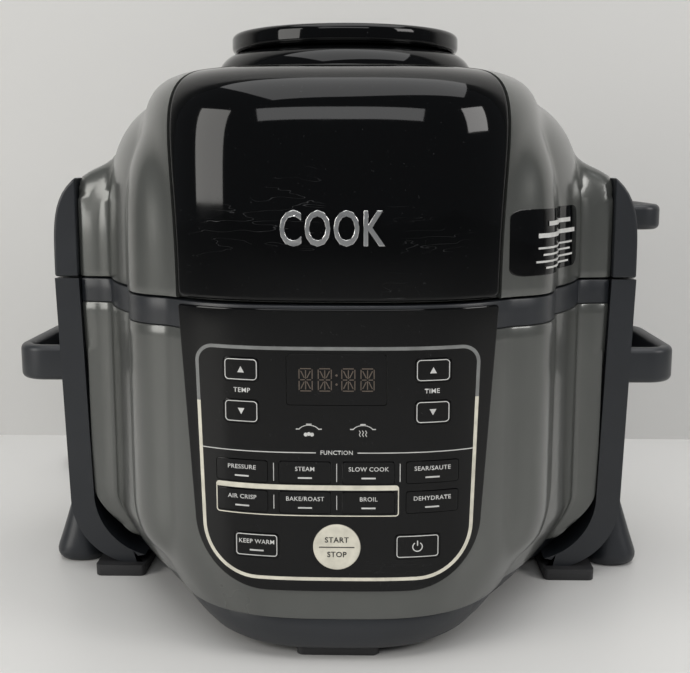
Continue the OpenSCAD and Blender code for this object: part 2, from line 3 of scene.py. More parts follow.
import bmesh
import bpy
from bpy.props import FloatProperty, FloatVectorProperty, PointerProperty
from mathutils import Euler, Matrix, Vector


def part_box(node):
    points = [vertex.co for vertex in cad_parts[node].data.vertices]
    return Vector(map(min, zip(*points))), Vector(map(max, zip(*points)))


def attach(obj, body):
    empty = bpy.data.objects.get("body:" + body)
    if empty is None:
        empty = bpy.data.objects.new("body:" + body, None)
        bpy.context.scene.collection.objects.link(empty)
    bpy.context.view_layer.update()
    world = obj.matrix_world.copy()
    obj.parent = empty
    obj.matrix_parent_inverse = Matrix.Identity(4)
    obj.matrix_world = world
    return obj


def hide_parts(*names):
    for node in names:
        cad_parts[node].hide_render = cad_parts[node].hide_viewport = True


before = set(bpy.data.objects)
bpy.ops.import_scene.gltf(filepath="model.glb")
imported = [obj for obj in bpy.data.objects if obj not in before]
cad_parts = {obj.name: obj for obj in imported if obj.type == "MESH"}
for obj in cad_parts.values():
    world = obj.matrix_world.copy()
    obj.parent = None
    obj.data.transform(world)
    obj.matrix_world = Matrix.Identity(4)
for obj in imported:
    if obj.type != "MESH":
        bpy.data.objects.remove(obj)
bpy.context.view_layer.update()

bl_info = {
    "name": "Pressure cooker with a crisping lid",
    "version": (1, 0, 0),
    "blender": (4, 5, 0),
    "location": "3D View > Sidebar > Cooker",
    "description": "Builds the casings, control panel, cord and finishes of a pressure cooker",
    "category": "Object",
}

# Lengths in this file are millimetres, as on the CAD frame, and meshes are scaled to metres
# when they are made. Angles are degrees, from +X towards +Y.
MM = 0.001


def low(node):
    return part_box(node)[0] / MM


def high(node):
    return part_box(node)[1] / MM


# ---- sizes taken from the frame --------------------------------------------------------

RIM_INSET = 1.0
HALF_W = high("bottom_rim").y + RIM_INSET
FRONT_D = -low("bottom_rim").y + RIM_INSET
SEAM_Z = high("top_band").z
BAND_Z = low("top_band").z
RIM_Z = low("base_shell").z
FOOT_H = low("bottom_rim").z
LID_Z = low("lid_shell").z
FRAME_X = high("side_frame_right").x
PANEL_X = low("lid_cap_right").x + 2.2
SIDE_FRONT = -low("side_frame_right").y
SIDE_BACK = high("side_frame_right").y
DOME_H = 115.0
SHIELD_X = 112.0
SHIELD_P = 3.0
SHIELD_BACK = HALF_W - 16
SIDE_P = 9.0
WALL = 2.5
FASCIA_T = 2.0


def cosd(angle):
    return math.cos(math.radians(angle))


def sind(angle):
    return math.sin(math.radians(angle))


# ---- settings --------------------------------------------------------------------------


class CookerSizes(bpy.types.PropertyGroup):
    """Sizes of the visible details."""

    edge: FloatProperty(name="Edge rounding", description="Radius on the edges of the casings",
                        default=0.0009, min=0.0002, max=0.003, unit="LENGTH")
    crease: FloatProperty(name="Crease", description="Width over which the front face blends into the sides",
                          default=0.0022, min=0.0005, max=0.01, unit="LENGTH")
    trim: FloatProperty(name="Trim line", description="Width of the printed line round the controls",
                        default=0.0017, min=0.0005, max=0.004, unit="LENGTH")
    print_t: FloatProperty(name="Print", description="Thickness of the printed marks",
                           default=0.00012, min=0.00005, max=0.0005, unit="LENGTH")
    badge_h: FloatProperty(name="Badge", description="Height of the badge's letters",
                           default=0.0165, min=0.005, max=0.03, unit="LENGTH")


def colour(label, text, value):
    return FloatVectorProperty(name=label, description=text, default=value, size=3, min=0, max=1,
                               subtype="COLOR")


class CookerColours(bpy.types.PropertyGroup):
    """Colours of the main finishes."""

    paint: colour("Paint", "Charcoal paint of the shells", (0.084, 0.087, 0.081))
    plastic: colour("Plastic", "Dark plastic of the frames and handles", (0.0145, 0.0165, 0.02))
    gloss: colour("Gloss", "Glossy black of the panels", (0.0014, 0.0015, 0.0017))
    ink: colour("Print", "Light printed marks", (0.62, 0.62, 0.6))
    cream: colour("Cream", "Cream printed marks and the start key", (0.72, 0.69, 0.58))


def sizes():
    return bpy.context.scene.cooker_sizes


def colours():
    return bpy.context.scene.cooker_colours


# ---- shader maths ----------------------------------------------------------------------


class Value:
    """A shader socket that can be used in sums."""

    def __init__(self, shader, socket):
        self.shader, self.socket = shader, socket

    def __add__(self, other):
        return self.shader.math("ADD", self, other)

    def __sub__(self, other):
        return self.shader.math("SUBTRACT", self, other)

    def __rsub__(self, other):
        return self.shader.math("SUBTRACT", other, self)

    def __mul__(self, other):
        return self.shader.math("MULTIPLY", self, other)

    __radd__, __rmul__ = __add__, __mul__


class Shader:
    """A material made of nodes."""

    def __init__(self, name):
        self.material = bpy.data.materials.new(f"{name}_finish")
        self.material.use_nodes = True
        self.tree = self.material.node_tree
        self.surface = self.tree.nodes["Principled BSDF"]
        self.place = self.node("ShaderNodeTexCoord", {}, {}, "Object")

    def node(self, kind, settings, inputs, output=0):
        made = self.tree.nodes.new(kind)
        for name, value in settings.items():
            setattr(made, name, value)
        for name, value in inputs.items():
            self.feed(made.inputs[name], value)
        return Value(self, made.outputs[output])

    def feed(self, socket, value):
        if isinstance(value, Value):
            self.tree.links.new(value.socket, socket)
        else:
            socket.default_value = value

    def math(self, operation, a, b):
        return self.node("ShaderNodeMath", {"operation": operation}, {0: a, 1: b})

    def noise(self, scale, detail=3.0, stretch=(1, 1, 1)):
        place = self.node("ShaderNodeMapping", {}, {"Vector": self.place, "Scale": stretch})
        return self.node("ShaderNodeTexNoise", {}, {"Vector": place, "Scale": scale, "Detail": detail})

    def spots(self, value, low_end, high_end):
        """0 below one end, 1 above the other."""
        return self.node("ShaderNodeMapRange", {"clamp": True},
                         {"Value": value, "From Min": low_end, "From Max": high_end})

    def mix(self, share, a, b):
        four = [(*c, 1) if isinstance(c, (tuple, list)) else c for c in (a, b)]
        return self.node("ShaderNodeMix", {"data_type": "RGBA"}, {0: share, 6: four[0], 7: four[1]}, 2)

    def bump(self, height, depth):
        return self.node("ShaderNodeBump", {}, {"Height": height, "Distance": depth, "Strength": 1.0})

    def set(self, **inputs):
        for name, value in inputs.items():
            value = (*value, 1) if isinstance(value, tuple) and len(value) == 3 else value
            self.feed(self.surface.inputs[name.replace("_", " ")], value)
        return self.material


def darker(rgb, share):
    return tuple(c * share for c in rgb)


def satin_paint():
    """Charcoal paint with a soft metallic sheen and faint wear."""
    s = Shader("charcoal_paint")
    rgb = tuple(colours().paint)
    cloud = s.noise(14, 4)
    grain = s.noise(2600, 2)
    base = s.mix(s.spots(cloud, 0.3, 0.75), darker(rgb, 0.9), darker(rgb, 1.1))
    return s.set(Base_Color=base, Metallic=0.35, Roughness=0.24 + 0.1 * cloud,
                 Coat_Weight=0.55, Coat_Roughness=0.12, Coat_IOR=1.5,
                 Normal=s.bump(grain, 0.000004))


def satin_plastic(name="black_plastic", share=1.0, rough=0.34):
    """Dark plastic with a fine moulded grain."""
    s = Shader(name)
    rgb = darker(tuple(colours().plastic), share)
    cloud = s.noise(22, 3)
    grain = s.noise(1900, 2)
    base = s.mix(s.spots(cloud, 0.3, 0.7), darker(rgb, 0.9), darker(rgb, 1.12))
    return s.set(Base_Color=base, Roughness=rough + 0.1 * cloud, Normal=s.bump(grain, 0.00001))


def gloss_black(name="gloss_black", scratches=0.5):
    """Glossy black with fine scratches, smears and dust."""
    s = Shader(name)
    rgb = tuple(colours().gloss)
    smear = s.spots(s.noise(26, 5, (1, 1, 0.35)), 0.5, 0.72)
    dust = s.spots(s.noise(900, 1), 0.76, 0.8)
    line = s.spots(s.noise(34, 2, (1, 1, 6)), 0.495, 0.5) - s.spots(s.noise(34, 2, (1, 1, 6)), 0.5, 0.505)
    patch = s.spots(s.noise(18, 3), 0.6, 0.66)
    marks = line * patch * scratches
    base = s.mix(dust * 0.25 + marks, rgb, (0.09, 0.092, 0.095))
    return s.set(Base_Color=base, Roughness=0.05 + 0.07 * smear + 0.3 * marks,
                 IOR=1.34)


def metal(name, rgb, rough, stretch=(1, 1, 40)):
    """Brushed or drawn metal."""
    s = Shader(name)
    streak = s.noise(60, 4, stretch)
    base = s.mix(streak, darker(rgb, 0.86), rgb)
    return s.set(Base_Color=base, Metallic=1.0, Roughness=rough + 0.16 * streak,
                 Normal=s.bump(streak, 0.000012))


def chrome():
    """Bright plated metal of the badge."""
    s = Shader("chrome")
    haze = s.noise(40, 3)
    return s.set(Base_Color=s.mix(haze, (0.85, 0.85, 0.84), (0.95, 0.95, 0.94)), Metallic=1.0,
                 Roughness=0.12 + 0.1 * haze)


def pot_coating():
    """Dark ceramic coating with light speckles."""
    s = Shader("pot_coating")
    speck = s.spots(s.noise(700, 1), 0.68, 0.72)
    cloud = s.noise(30, 3)
    return s.set(Base_Color=s.mix(speck, (0.022, 0.023, 0.025), (0.12, 0.12, 0.12)),
                 Roughness=0.3 + 0.15 * cloud)


def ink(name, rgb):
    """Printed marks, slightly worn."""
    s = Shader(name)
    wear = s.spots(s.noise(160, 4), 0.3, 0.62)
    return s.set(Base_Color=s.mix(wear, darker(rgb, 0.8), rgb), Roughness=0.4 + 0.1 * wear)


def display_ink():
    """Segments of the unlit display."""
    s = Shader("display_segments")
    haze = s.noise(90, 2)
    return s.set(Base_Color=s.mix(haze, (0.075, 0.058, 0.045), (0.11, 0.085, 0.065)), Roughness=0.5)


def board():
    """Green circuit board with tracks."""
    s = Shader("circuit_board")
    track = s.spots(s.node("ShaderNodeTexVoronoi", {"feature": "DISTANCE_TO_EDGE"},
                           {"Vector": s.place, "Scale": 160.0}), 0.02, 0.06)
    return s.set(Base_Color=s.mix(track, (0.25, 0.2, 0.06), (0.01, 0.09, 0.03)), Roughness=0.4)


def rubber(name, share):
    """Soft dull rubber of the cord and its fittings."""
    s = Shader(name)
    cloud = s.noise(70, 3)
    grain = s.noise(1500, 1)
    return s.set(Base_Color=s.mix(cloud, darker((0.012, 0.012, 0.013), share),
                                  darker((0.02, 0.02, 0.021), share)),
                 Roughness=0.5 + 0.12 * cloud, Normal=s.bump(grain, 0.00001))


def smoke_plastic():
    """Tinted, slightly hazy plastic of the drip cup."""
    s = Shader("smoke_plastic")
    haze = s.noise(40, 3)
    return s.set(Base_Color=s.mix(haze, (0.03, 0.033, 0.036), (0.05, 0.054, 0.058)),
                 Roughness=0.16 + 0.1 * haze, Alpha=0.92)


MAKERS = {
    "charcoal_paint": satin_paint,
    "black_plastic": satin_plastic,
    "dark_gap": lambda: satin_plastic("dark_gap", 0.25, 0.5),
    "gloss_black": gloss_black,
    "fascia_gloss": lambda: gloss_black("fascia_gloss", 0.12),
    "ring_gloss": lambda: gloss_black("ring_gloss", 0.2),
    "display_lens": lambda: gloss_black("display_lens", 0.0),
    "steel": lambda: metal("steel", (0.6, 0.6, 0.59), 0.22),
    "aluminium": lambda: metal("aluminium", (0.72, 0.73, 0.74), 0.34, (20, 1, 1)),
    "heater_sheath": lambda: metal("heater_sheath", (0.16, 0.15, 0.14), 0.42, (8, 8, 8)),
    "chrome": chrome,
    "pot_coating": pot_coating,
    "ink": lambda: ink("ink", tuple(colours().ink)),
    "trim_grey": lambda: ink("trim_grey", (0.2, 0.205, 0.2)),
    "cream_key": lambda: ink("cream_key", tuple(colours().cream)),
    "black_ink": lambda: ink("black_ink", (0.012, 0.012, 0.012)),
    "display_segments": display_ink,
    "circuit_board": board,
    "rubber": lambda: rubber("rubber", 1.4),
    "cord_jacket": lambda: rubber("cord_jacket", 1.0),
    "smoke_plastic": smoke_plastic,
}


def finish_of(name):
    return bpy.data.materials.get(f"{name}_finish") or MAKERS[name]()


# ---- mesh helpers ----------------------------------------------------------------------


def lay_ring(bm, points):
    """A first closed row of points."""
    made = bmesh.ops.create_circle(bm, segments=len(points), radius=1)
    for vert, point in zip(made["verts"], points):
        vert.co = point
    return made["verts"]


def next_ring(bm, ring, points):
    """Extrudes a closed row to the next row of points."""
    edges = [bm.edges.get((ring[i - 1], ring[i])) for i in range(len(ring))]
    made = bmesh.ops.extrude_edge_only(bm, edges=edges)
    fresh = {v for v in made["geom"] if isinstance(v, bmesh.types.BMVert)}
    above = [next(e.other_vert(v) for e in v.link_edges if e.other_vert(v) in fresh) for v in ring]
    for vert, point in zip(above, points):
        vert.co = point
    return above


def loft(rings, closed=False, caps=True, bm=None):
    """A skin over closed rows of points. A closed one runs back to its first row."""
    bm = bm or bmesh.new()
    first = ring = lay_ring(bm, rings[0])
    for points in rings[1:]:
        ring = next_ring(bm, ring, points)
    if closed:
        next_ring(bm, ring, rings[0])
    elif caps:
        bm.faces.new(first)
        bm.faces.new(ring)
    return bm


def piece(name, bm, finish, body, replaces=(), smooth=32, merge=0.002):
    """Turns a mesh in millimetres into a piece that rides on a body."""
    bmesh.ops.remove_doubles(bm, verts=bm.verts, dist=merge)
    bmesh.ops.recalc_face_normals(bm, faces=bm.faces)
    bmesh.ops.scale(bm, vec=(MM, MM, MM), verts=bm.verts)
    mesh = bpy.data.meshes.new(name)
    bm.to_mesh(mesh)
    bm.free()
    mesh.shade_smooth()
    mesh.set_sharp_from_angle(angle=math.radians(smooth))
    made = bpy.data.objects.new(name, mesh)
    bpy.context.scene.collection.objects.link(made)
    mesh.materials.append(finish_of(finish))
    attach(made, body)
    if replaces:
        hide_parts(*replaces)
    return made


def bevelled(made, width, segments=3, angle=35):
    """Rounds a piece's sharp edges."""
    bevel = made.modifiers.new("rounded_edges", "BEVEL")
    bevel.width = width * MM
    bevel.segments = segments
    bevel.limit_method = "ANGLE"
    bevel.angle_limit = math.radians(angle)
    bevel.harden_normals = False
    return made


def cut(made, cutters):
    """Takes cutters, a mesh in millimetres, out of a piece."""
    bmesh.ops.recalc_face_normals(cutters, faces=cutters.faces)
    bmesh.ops.scale(cutters, vec=(MM, MM, MM), verts=cutters.verts)
    mesh = bpy.data.meshes.new("cutters")
    cutters.to_mesh(mesh)
    cutters.free()
    tool = bpy.data.objects.new("cutters", mesh)
    bpy.context.scene.collection.objects.link(tool)
    knife = made.modifiers.new("cut", "BOOLEAN")
    knife.operation, knife.solver, knife.object = "DIFFERENCE", "EXACT", tool
    graph = bpy.context.evaluated_depsgraph_get()
    shape = bpy.data.meshes.new_from_object(made.evaluated_get(graph))
    made.modifiers.remove(knife)
    made.data = shape
    bpy.data.objects.remove(tool)
    shape.set_sharp_from_angle(angle=math.radians(32))
    return made


def turned(profile, steps=128, bm=None):
    """A closed profile of radii and heights, turned round the upright axis."""
    rings = [[Vector((r * cosd(a * 360 / steps), r * sind(a * 360 / steps), z)) for a in range(steps)]
             for r, z in profile]
    return loft(rings, closed=True, bm=bm)


def block(outline, lift, span, bm=None):
    """An outline run along a span. lift turns u, v and the place along it to a point."""
    return loft([[lift(u, v, w) for u, v in outline] for w in span], bm=bm)


def rounded(w, h, r, n=6):
    """Outline of a rectangle with round corners, about its middle."""
    corners = [(w / 2 - r, h / 2 - r, 0), (r - w / 2, h / 2 - r, 90), (r - w / 2, r - h / 2, 180),
               (w / 2 - r, r - h / 2, 270)]
    return [(x + r * cosd(a + 90 * i / n), z + r * sind(a + 90 * i / n))
            for x, z, a in corners for i in range(n + 1)]


def disc(r, n=48):
    return [(r * cosd(i * 360 / n), r * sind(i * 360 / n)) for i in range(n)]


def resampled(outline, step=2.5):
    """The same closed outline, with points no further apart than a step."""
    out = []
    for i, (x, z) in enumerate(outline):
        x2, z2 = outline[(i + 1) % len(outline)]
        n = max(1, math.ceil(math.hypot(x2 - x, z2 - z) / step))
        out += [(x + (x2 - x) * k / n, z + (z2 - z) * k / n) for k in range(n)]
    return out


def inset(outline, d):
    """The outline moved inwards by d."""
    out = []
    for i, (x, z) in enumerate(outline):
        (ax, az), (bx, bz) = outline[i - 1], outline[(i + 1) % len(outline)]
        tx, tz = bx - ax, bz - az
        size = math.hypot(tx, tz) or 1
        out.append((x - d * tz / size, z + d * tx / size))
    return out


def shrunk(outline, share, centre):
    return [(centre[0] + (x - centre[0]) * share, centre[1] + (z - centre[1]) * share) for x, z in outline]


def moved(outline, x, z):
    return [(u + x, v + z) for u, v in outline]


def middle(outline):
    return (sum(p[0] for p in outline) / len(outline), sum(p[1] for p in outline) / len(outline))


SHARES = [0.03, 0.15, 0.3, 0.45, 0.6, 0.72, 0.84, 0.93]


def plate(outline, lift, top, depth, edge=0.25, bm=None, shares=SHARES):
    """A thin plate on a curved face: rows from its middle out to its rounded edge, and its back."""
    c = middle(outline)
    rows = [(shrunk(outline, s, c), top) for s in shares]
    rows += [(inset(outline, edge), top), (inset(outline, 0.3 * edge), top - 0.3 * edge),
             (outline, top - edge), (outline, top - depth)]
    rows += [(shrunk(outline, s, c), top - depth) for s in reversed(shares)]
    return loft([[lift(x, z, out) for x, z in points] for points, out in rows], bm=bm)


def swept(path, across, up, bm=None):
    """A flat-sided bar along a path in one level plane, with an outline of across and up."""
    rings = []
    for i, (x, y, z) in enumerate(path):
        a, b = path[max(i - 1, 0)], path[min(i + 1, len(path) - 1)]
        size = math.hypot(b[0] - a[0], b[1] - a[1]) or 1
        nx, ny = (b[1] - a[1]) / size, (a[0] - b[0]) / size
        section = rounded(across, up, min(across, up) * 0.42)
        rings.append([Vector((x + nx * u, y + ny * u, z + v)) for u, v in section])
    return loft(rings, bm=bm)


# ---- outlines of the body --------------------------------------------------------------


def soft_max(a, b, k):
    h = max(k - abs(a - b), 0) / k
    return max(a, b) + h * h * k / 4


def reach(t, a, front, back, p):
    c, s = abs(cosd(t)), sind(t)
    return ((c / a) ** p + (abs(s) / (front if s < 0 else back)) ** p) ** (-1 / p)


def shield(t, grow=0.0):
    return reach(t, SHIELD_X + grow, FRONT_D + grow, SHIELD_BACK + grow, SHIELD_P)


HIP = (116.0, 129.0, 118.0, 6.0)


def barrel(t, grow=0.0, tuck=0.0):
    """The round body with its front face and the crease beside it."""
    k = sizes().crease / MM
    round_part = soft_max(HALF_W + grow, shield(t, grow), k)
    hip = reach(t, HIP[0] - tuck + grow, HIP[1] - tuck * 0.3 + grow, HIP[2] + grow, HIP[3])
    return soft_max(round_part, hip, k)


def side(t, grow=0.0, half=None):
    half = PANEL_X if half is None else half
    return min(reach(t, FRAME_X + grow, SIDE_FRONT + grow, SIDE_BACK + grow, SIDE_P),
               (half + grow) / max(abs(cosd(t)), 0.001))


SKIN_BLEND = 14.0


def skin(t, grow=0.0, half=None, tuck=0.0):
    return soft_max(barrel(t, grow, tuck), side(t, grow, half), SKIN_BLEND)


def angles(n, extra=()):
    """Angles round the body, closer together at its sides."""
    return sorted([s - 6 * sind(2 * s) for s in (i * 360 / n for i in range(n))] + list(extra))


ROUND = angles(336)


def row(radius, z, turns=None):
    return [Vector((radius(t) * cosd(t), radius(t) * sind(t), z)) for t in turns or ROUND]


# ---- front face ------------------------------------------------------------------------


def on_face(x, z, out):
    """The point that stands out from the front face at x and z."""
    u = abs(x) / SHIELD_X
    depth = FRONT_D * (1 - u ** SHIELD_P) ** (1 / SHIELD_P)
    slope = FRONT_D / SHIELD_X * u ** (SHIELD_P - 1) * (1 - u ** SHIELD_P) ** (1 / SHIELD_P - 1)
    turn = math.copysign(math.atan(slope), x)
    return Vector((x + out * math.sin(turn), -depth - out * math.cos(turn), z))


def words_shape(words, height, heavy=0.0):
    """The outline of words as faces, centred, with capitals of a height."""
    text = bpy.data.curves.new(words, "FONT")
    text.body = words
    text.size = height * 1.4
    text.align_x, text.align_y = "CENTER", "CENTER"
    text.space_character = 1.08
    text.offset = heavy * height
    text.resolution_u = 3
    holder = bpy.data.objects.new("words", text)
    bpy.context.scene.collection.objects.link(holder)
    graph = bpy.context.evaluated_depsgraph_get()
    mesh = bpy.data.meshes.new_from_object(holder.evaluated_get(graph))
    bm = bmesh.new()
    bm.from_mesh(mesh)
    bpy.data.objects.remove(holder)
    bpy.data.meshes.remove(mesh)
    return bm


class Print:
    """Flat marks gathered on a face, then given their thickness."""

    def __init__(self, lift=on_face, top=FASCIA_T):
        self.bm, self.lift, self.top = bmesh.new(), lift, top

    def words(self, words, x, z, height, heavy=0.012):
        shape = words_shape(words, height, heavy)
        for vert in shape.verts:
            vert.co = (vert.co.x + x, vert.co.y + z, 0)
        mesh = bpy.data.meshes.new("words")
        shape.to_mesh(mesh)
        shape.free()
        self.bm.from_mesh(mesh)
        bpy.data.meshes.remove(mesh)

    def fill(self, outline):
        made = bmesh.ops.create_circle(self.bm, segments=len(outline), radius=1, cap_ends=True)
        for vert, (x, z) in zip(made["verts"], outline):
            vert.co = (x, z, 0)

    def arc(self, x, z, r, start, span, n, squash=1.0, half=0.25):
        """A stretch of a ring, from one angle on through a span."""
        turns = [start + span * i / n for i in range(n + 1)]
        outline = [(x + (r + half) * cosd(a), z + squash * (r + half) * sind(a)) for a in turns]
        outline += [(x + (r - half) * cosd(a), z + squash * (r - half) * sind(a)) for a in reversed(turns)]
        self.fill(outline)

    def frame(self, outline, width):
        outline = resampled(outline)
        ring = lay_ring(self.bm, [(x, z, 0) for x, z in outline])
        next_ring(self.bm, ring, [(x, z, 0) for x, z in inset(outline, width)])

    def line(self, x0, z0, x1, z1, width):
        """A straight line, in short steps so that it follows the face."""
        size = math.hypot(x1 - x0, z1 - z0)
        made = bmesh.ops.create_grid(self.bm, x_segments=max(1, math.ceil(size / 3)), y_segments=1, size=1)
        across = Vector((z0 - z1, x1 - x0, 0)) * width / 2 / size
        for vert in made["verts"]:
            share = (vert.co.x + 1) / 2
            vert.co = Vector((x0 + (x1 - x0) * share, z0 + (z1 - z0) * share, 0)) + across * vert.co.y

    def piece(self, name, finish, body):
        thick = sizes().print_t / MM
        bmesh.ops.remove_doubles(self.bm, verts=self.bm.verts, dist=0.001)
        for vert in self.bm.verts:
            vert.co = self.lift(vert.co.x, vert.co.y, self.top - 0.05)
        bmesh.ops.recalc_face_normals(self.bm, faces=self.bm.faces)
        for face in self.bm.faces:
            if face.normal.y > 0:
                face.normal_flip()
        flat = list(self.bm.faces)
        bmesh.ops.solidify(self.bm, geom=flat, thickness=-(thick + 0.05))
        return piece(name, self.bm, finish, body, merge=0.0001)


# ---- camera, floor and light -----------------------------------------------------------


def area_light(name, place, target, size_x, size_y, power, rgb=(1, 1, 1)):
    data = bpy.data.lights.new(name, "AREA")
    data.shape = "RECTANGLE"
    data.size, data.size_y = size_x, size_y
    data.energy = power
    data.color = rgb
    made = bpy.data.objects.new(name, data)
    made.location = place
    made.rotation_euler = (Vector(target) - Vector(place)).to_track_quat("-Z", "Y").to_euler()
    bpy.context.scene.collection.objects.link(made)
    return made


def stage_finish(name, rgb, rough):
    s = Shader(name)
    cloud = s.noise(1.2, 3)
    return s.set(Base_Color=s.mix(cloud, darker(rgb, 0.96), rgb), Roughness=rough)


class COOKER_OT_stage(bpy.types.Operator):
    """Makes the camera, the pale floor and wall, and the soft studio light"""

    bl_idname = "cooker.stage"
    bl_label = "Camera and stage"

    def execute(self, context):
        camera = bpy.data.cameras.new("camera")
        camera.lens = 55.5
        camera.sensor_width = 36
        camera.clip_start, camera.clip_end = 0.01, 50
        holder = bpy.data.objects.new("camera", camera)
        holder.location = (0.0170, -0.6508, 0.247)
        holder.rotation_euler = Euler((math.radians(80.8), 0, math.radians(1.5)))
        context.scene.collection.objects.link(holder)
        context.scene.camera = holder
        context.scene.view_settings.view_transform = "Standard"

        bm = bmesh.new()
        bmesh.ops.create_grid(bm, x_segments=1, y_segments=1, size=4000)
        floor = self.flat(context, "floor", bm, stage_finish("pale_floor", (0.66, 0.655, 0.64), 0.42))
        bm = bmesh.new()
        bmesh.ops.create_grid(bm, x_segments=1, y_segments=1, size=4000)
        bmesh.ops.rotate(bm, verts=bm.verts, matrix=Euler((math.radians(90), 0, 0)).to_matrix())
        bmesh.ops.translate(bm, verts=bm.verts, vec=(0, 297, 4000))
        wall_look = stage_finish("pale_wall", (0.6, 0.595, 0.58), 0.7)
        self.open_behind(wall_look)
        wall = self.flat(context, "wall", bm, wall_look)

        world = bpy.data.worlds.new("studio")
        context.scene.world = world
        world.use_nodes = True
        glow = world.node_tree.nodes["Background"]
        glow.inputs["Color"].default_value = (0.5, 0.52, 0.55, 1)
        glow.inputs["Strength"].default_value = 0.28
        aim = (0, 0, 0.15)
        area_light("top_soft", (0.1, -0.25, 1.5), aim, 1.6, 1.2, 16)
        area_light("left_window", (-1.05, -0.75, 0.55), (-0.05, 0, 0.2), 0.55, 0.75, 7, (1, 0.98, 0.94))
        area_light("right_window", (1.15, -0.6, 0.75), (0.05, 0, 0.2), 0.45, 0.45, 5, (1, 0.98, 0.96))
        area_light("front_fill", (0, -1.9, 1.3), aim, 1.8, 0.5, 10)
        return {"FINISHED"}

    @staticmethod
    def flat(context, name, bm, finish):
        bmesh.ops.scale(bm, vec=(MM, MM, MM), verts=bm.verts)
        mesh = bpy.data.meshes.new(name)
        bm.to_mesh(mesh)
        bm.free()
        mesh.materials.append(finish)
        made = bpy.data.objects.new(name, mesh)
        context.scene.collection.objects.link(made)
        return made

    @staticmethod
    def open_behind(material):
        """Lets the wall be seen only from its front."""
        tree = material.node_tree
        out = tree.nodes["Material Output"]
        solid = tree.nodes["Principled BSDF"]
        mix = tree.nodes.new("ShaderNodeMixShader")
        clear = tree.nodes.new("ShaderNodeBsdfTransparent")
        facing = tree.nodes.new("ShaderNodeNewGeometry")
        tree.links.new(facing.outputs["Backfacing"], mix.inputs[0])
        tree.links.new(solid.outputs[0], mix.inputs[1])
        tree.links.new(clear.outputs[0], mix.inputs[2])
        tree.links.new(mix.outputs[0], out.inputs["Surface"])


# ---- cord ------------------------------------------------------------------------------

CORD_D = 8.0
# The smooth cord is shorter than its route's straight steps. Fitted to the finished mesh's length
ROUTE = [(-70, 148, 34), (-70, 154, 33.5), (-70, 161, 31.5), (-71, 169, 28), (-72, 177, 23),
         (-74, 186, 17.5), (-76, 196, 12), (-79, 206, 8), (-83, 217, 5), (-89, 228, 4), (-97, 238, 4),
         (-107, 247, 4), (-119, 255, 4), (-132, 261, 4), (-146, 265, 4), (-158, 267, 4),
         (-168, 268, 4), (-178, 268, 4)]
TAIL = [(-168, 166, 12.2), (-160, 164, 12.2), (-152, 161, 11.5), (-146, 158, 11), (-142, 156, 10)]
COIL = (-186, 218)
TURN_STEPS = 20


def coil_points():
    """Two and a half turns: inwards on the floor, up over the first turn and outwards again."""
    points = []
    start, climb, top, end = 90, 450, 600, 990
    for k in range(int((end - start) / 360 * TURN_STEPS) + 1):
        a = start + k * 360 / TURN_STEPS
        if a <= climb:
            r, z = 50 - 8.6 * (a - start) / 360, 4.0
        elif a <= top:
            s = (a - climb) / (top - climb)
            r, z = 41.4 - 2.9 * s, 4 + 8.2 * s * s * (3 - 2 * s)
        else:
            r, z = 38.5 + 12.5 * (a - top) / (end - top), 12.2
        points.append((COIL[0] + r * cosd(a), COIL[1] + r * sind(a), z))
    return points


class COOKER_OT_cord(bpy.types.Operator):
    """Lays the power cord with its coil, strain relief and plug"""

    bl_idname = "cooker.cord"
    bl_label = "Power cord"

    def execute(self, context):
        route = ROUTE + coil_points() + TAIL
        line = bpy.data.curves.new("power_lead", "CURVE")
        line.dimensions = "3D"
        line.bevel_depth = CORD_D / 2 * MM
        line.bevel_resolution = 5
        line.resolution_u = 5
        line.use_fill_caps = True
        spline = line.splines.new("NURBS")
        spline.points.add(len(route) - 1)
        for point, place in zip(spline.points, route):
            point.co = (*(c * MM for c in place), 1)
        spline.order_u = 4
        spline.use_endpoint_u = True
        cord = bpy.data.objects.new("power_lead", line)
        context.scene.collection.objects.link(cord)
        line.materials.append(finish_of("cord_jacket"))
        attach(cord, "base")
        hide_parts("power_cord", "cord_coil")

        relief = self.relief()
        plug = self.plug()
        return {"FINISHED"}

    @staticmethod
    def relief():
        """A ribbed rubber taper round the first of the cord."""
        y0, z = low("strain_relief").y, ROUTE[0][2]
        length = high("strain_relief").y - y0
        rings, steps = [], 40
        for i in range(steps + 1):
            share = i / steps
            groove = 0.7 if i > 6 and (i // 3) % 2 else 0.0
            r = 8.2 - 3.4 * share - groove
            if i == 0 or i == steps:
                r -= 0.8
            rings.append([Vector((ROUTE[0][0] + r * cosd(a * 15), y0 + 0.2 + (length - 0.4) * share,
                                  z - 0.9 * share * share + r * sind(a * 15))) for a in range(24)])
        return piece("cord_strain_relief", loft(rings), "rubber", "base", ("strain_relief",), 50)

    @staticmethod
    def plug():
        """A moulded two-blade plug lying on the surface."""
        lo, hi = low("mains_plug"), high("mains_plug")
        mid_y = (lo.y + hi.y) / 2
        rings = []
        for x, w, h in ((0, 12, 12), (0.8, 13.5, 13.5), (7, 15, 14), (12, 20, 16), (17, 25, 19.2),
                        (38, 25.6, 19.6), (41, 25, 19), (41.9, 23.5, 17.6)):
            rings.append([Vector((lo.x + x, mid_y + u, 10 + v)) for u, v in rounded(w, h, min(w, h) * 0.3)])
        plug = piece("power_plug", loft(rings), "rubber", "base", ("mains_plug",), 40)
        blades = bmesh.new()
        for y in (-6.2, 6.2):
            loft([[Vector((lo.x + x, mid_y + y + u, 10 + v)) for u, v in rounded(1.6 - d, 6.5 - d, 0.5)]
                  for x, d in ((41, 0), (56.6, 0), (57.8, 0.7))], bm=blades)
        made = piece("plug_blades", blades, "steel", "base")
        made.parent = plug
        return plug


# ---- body ------------------------------------------------------------------------------

LEAN = 4.0
CORNER_R = 42.0
PANEL_CORNER = 40.0


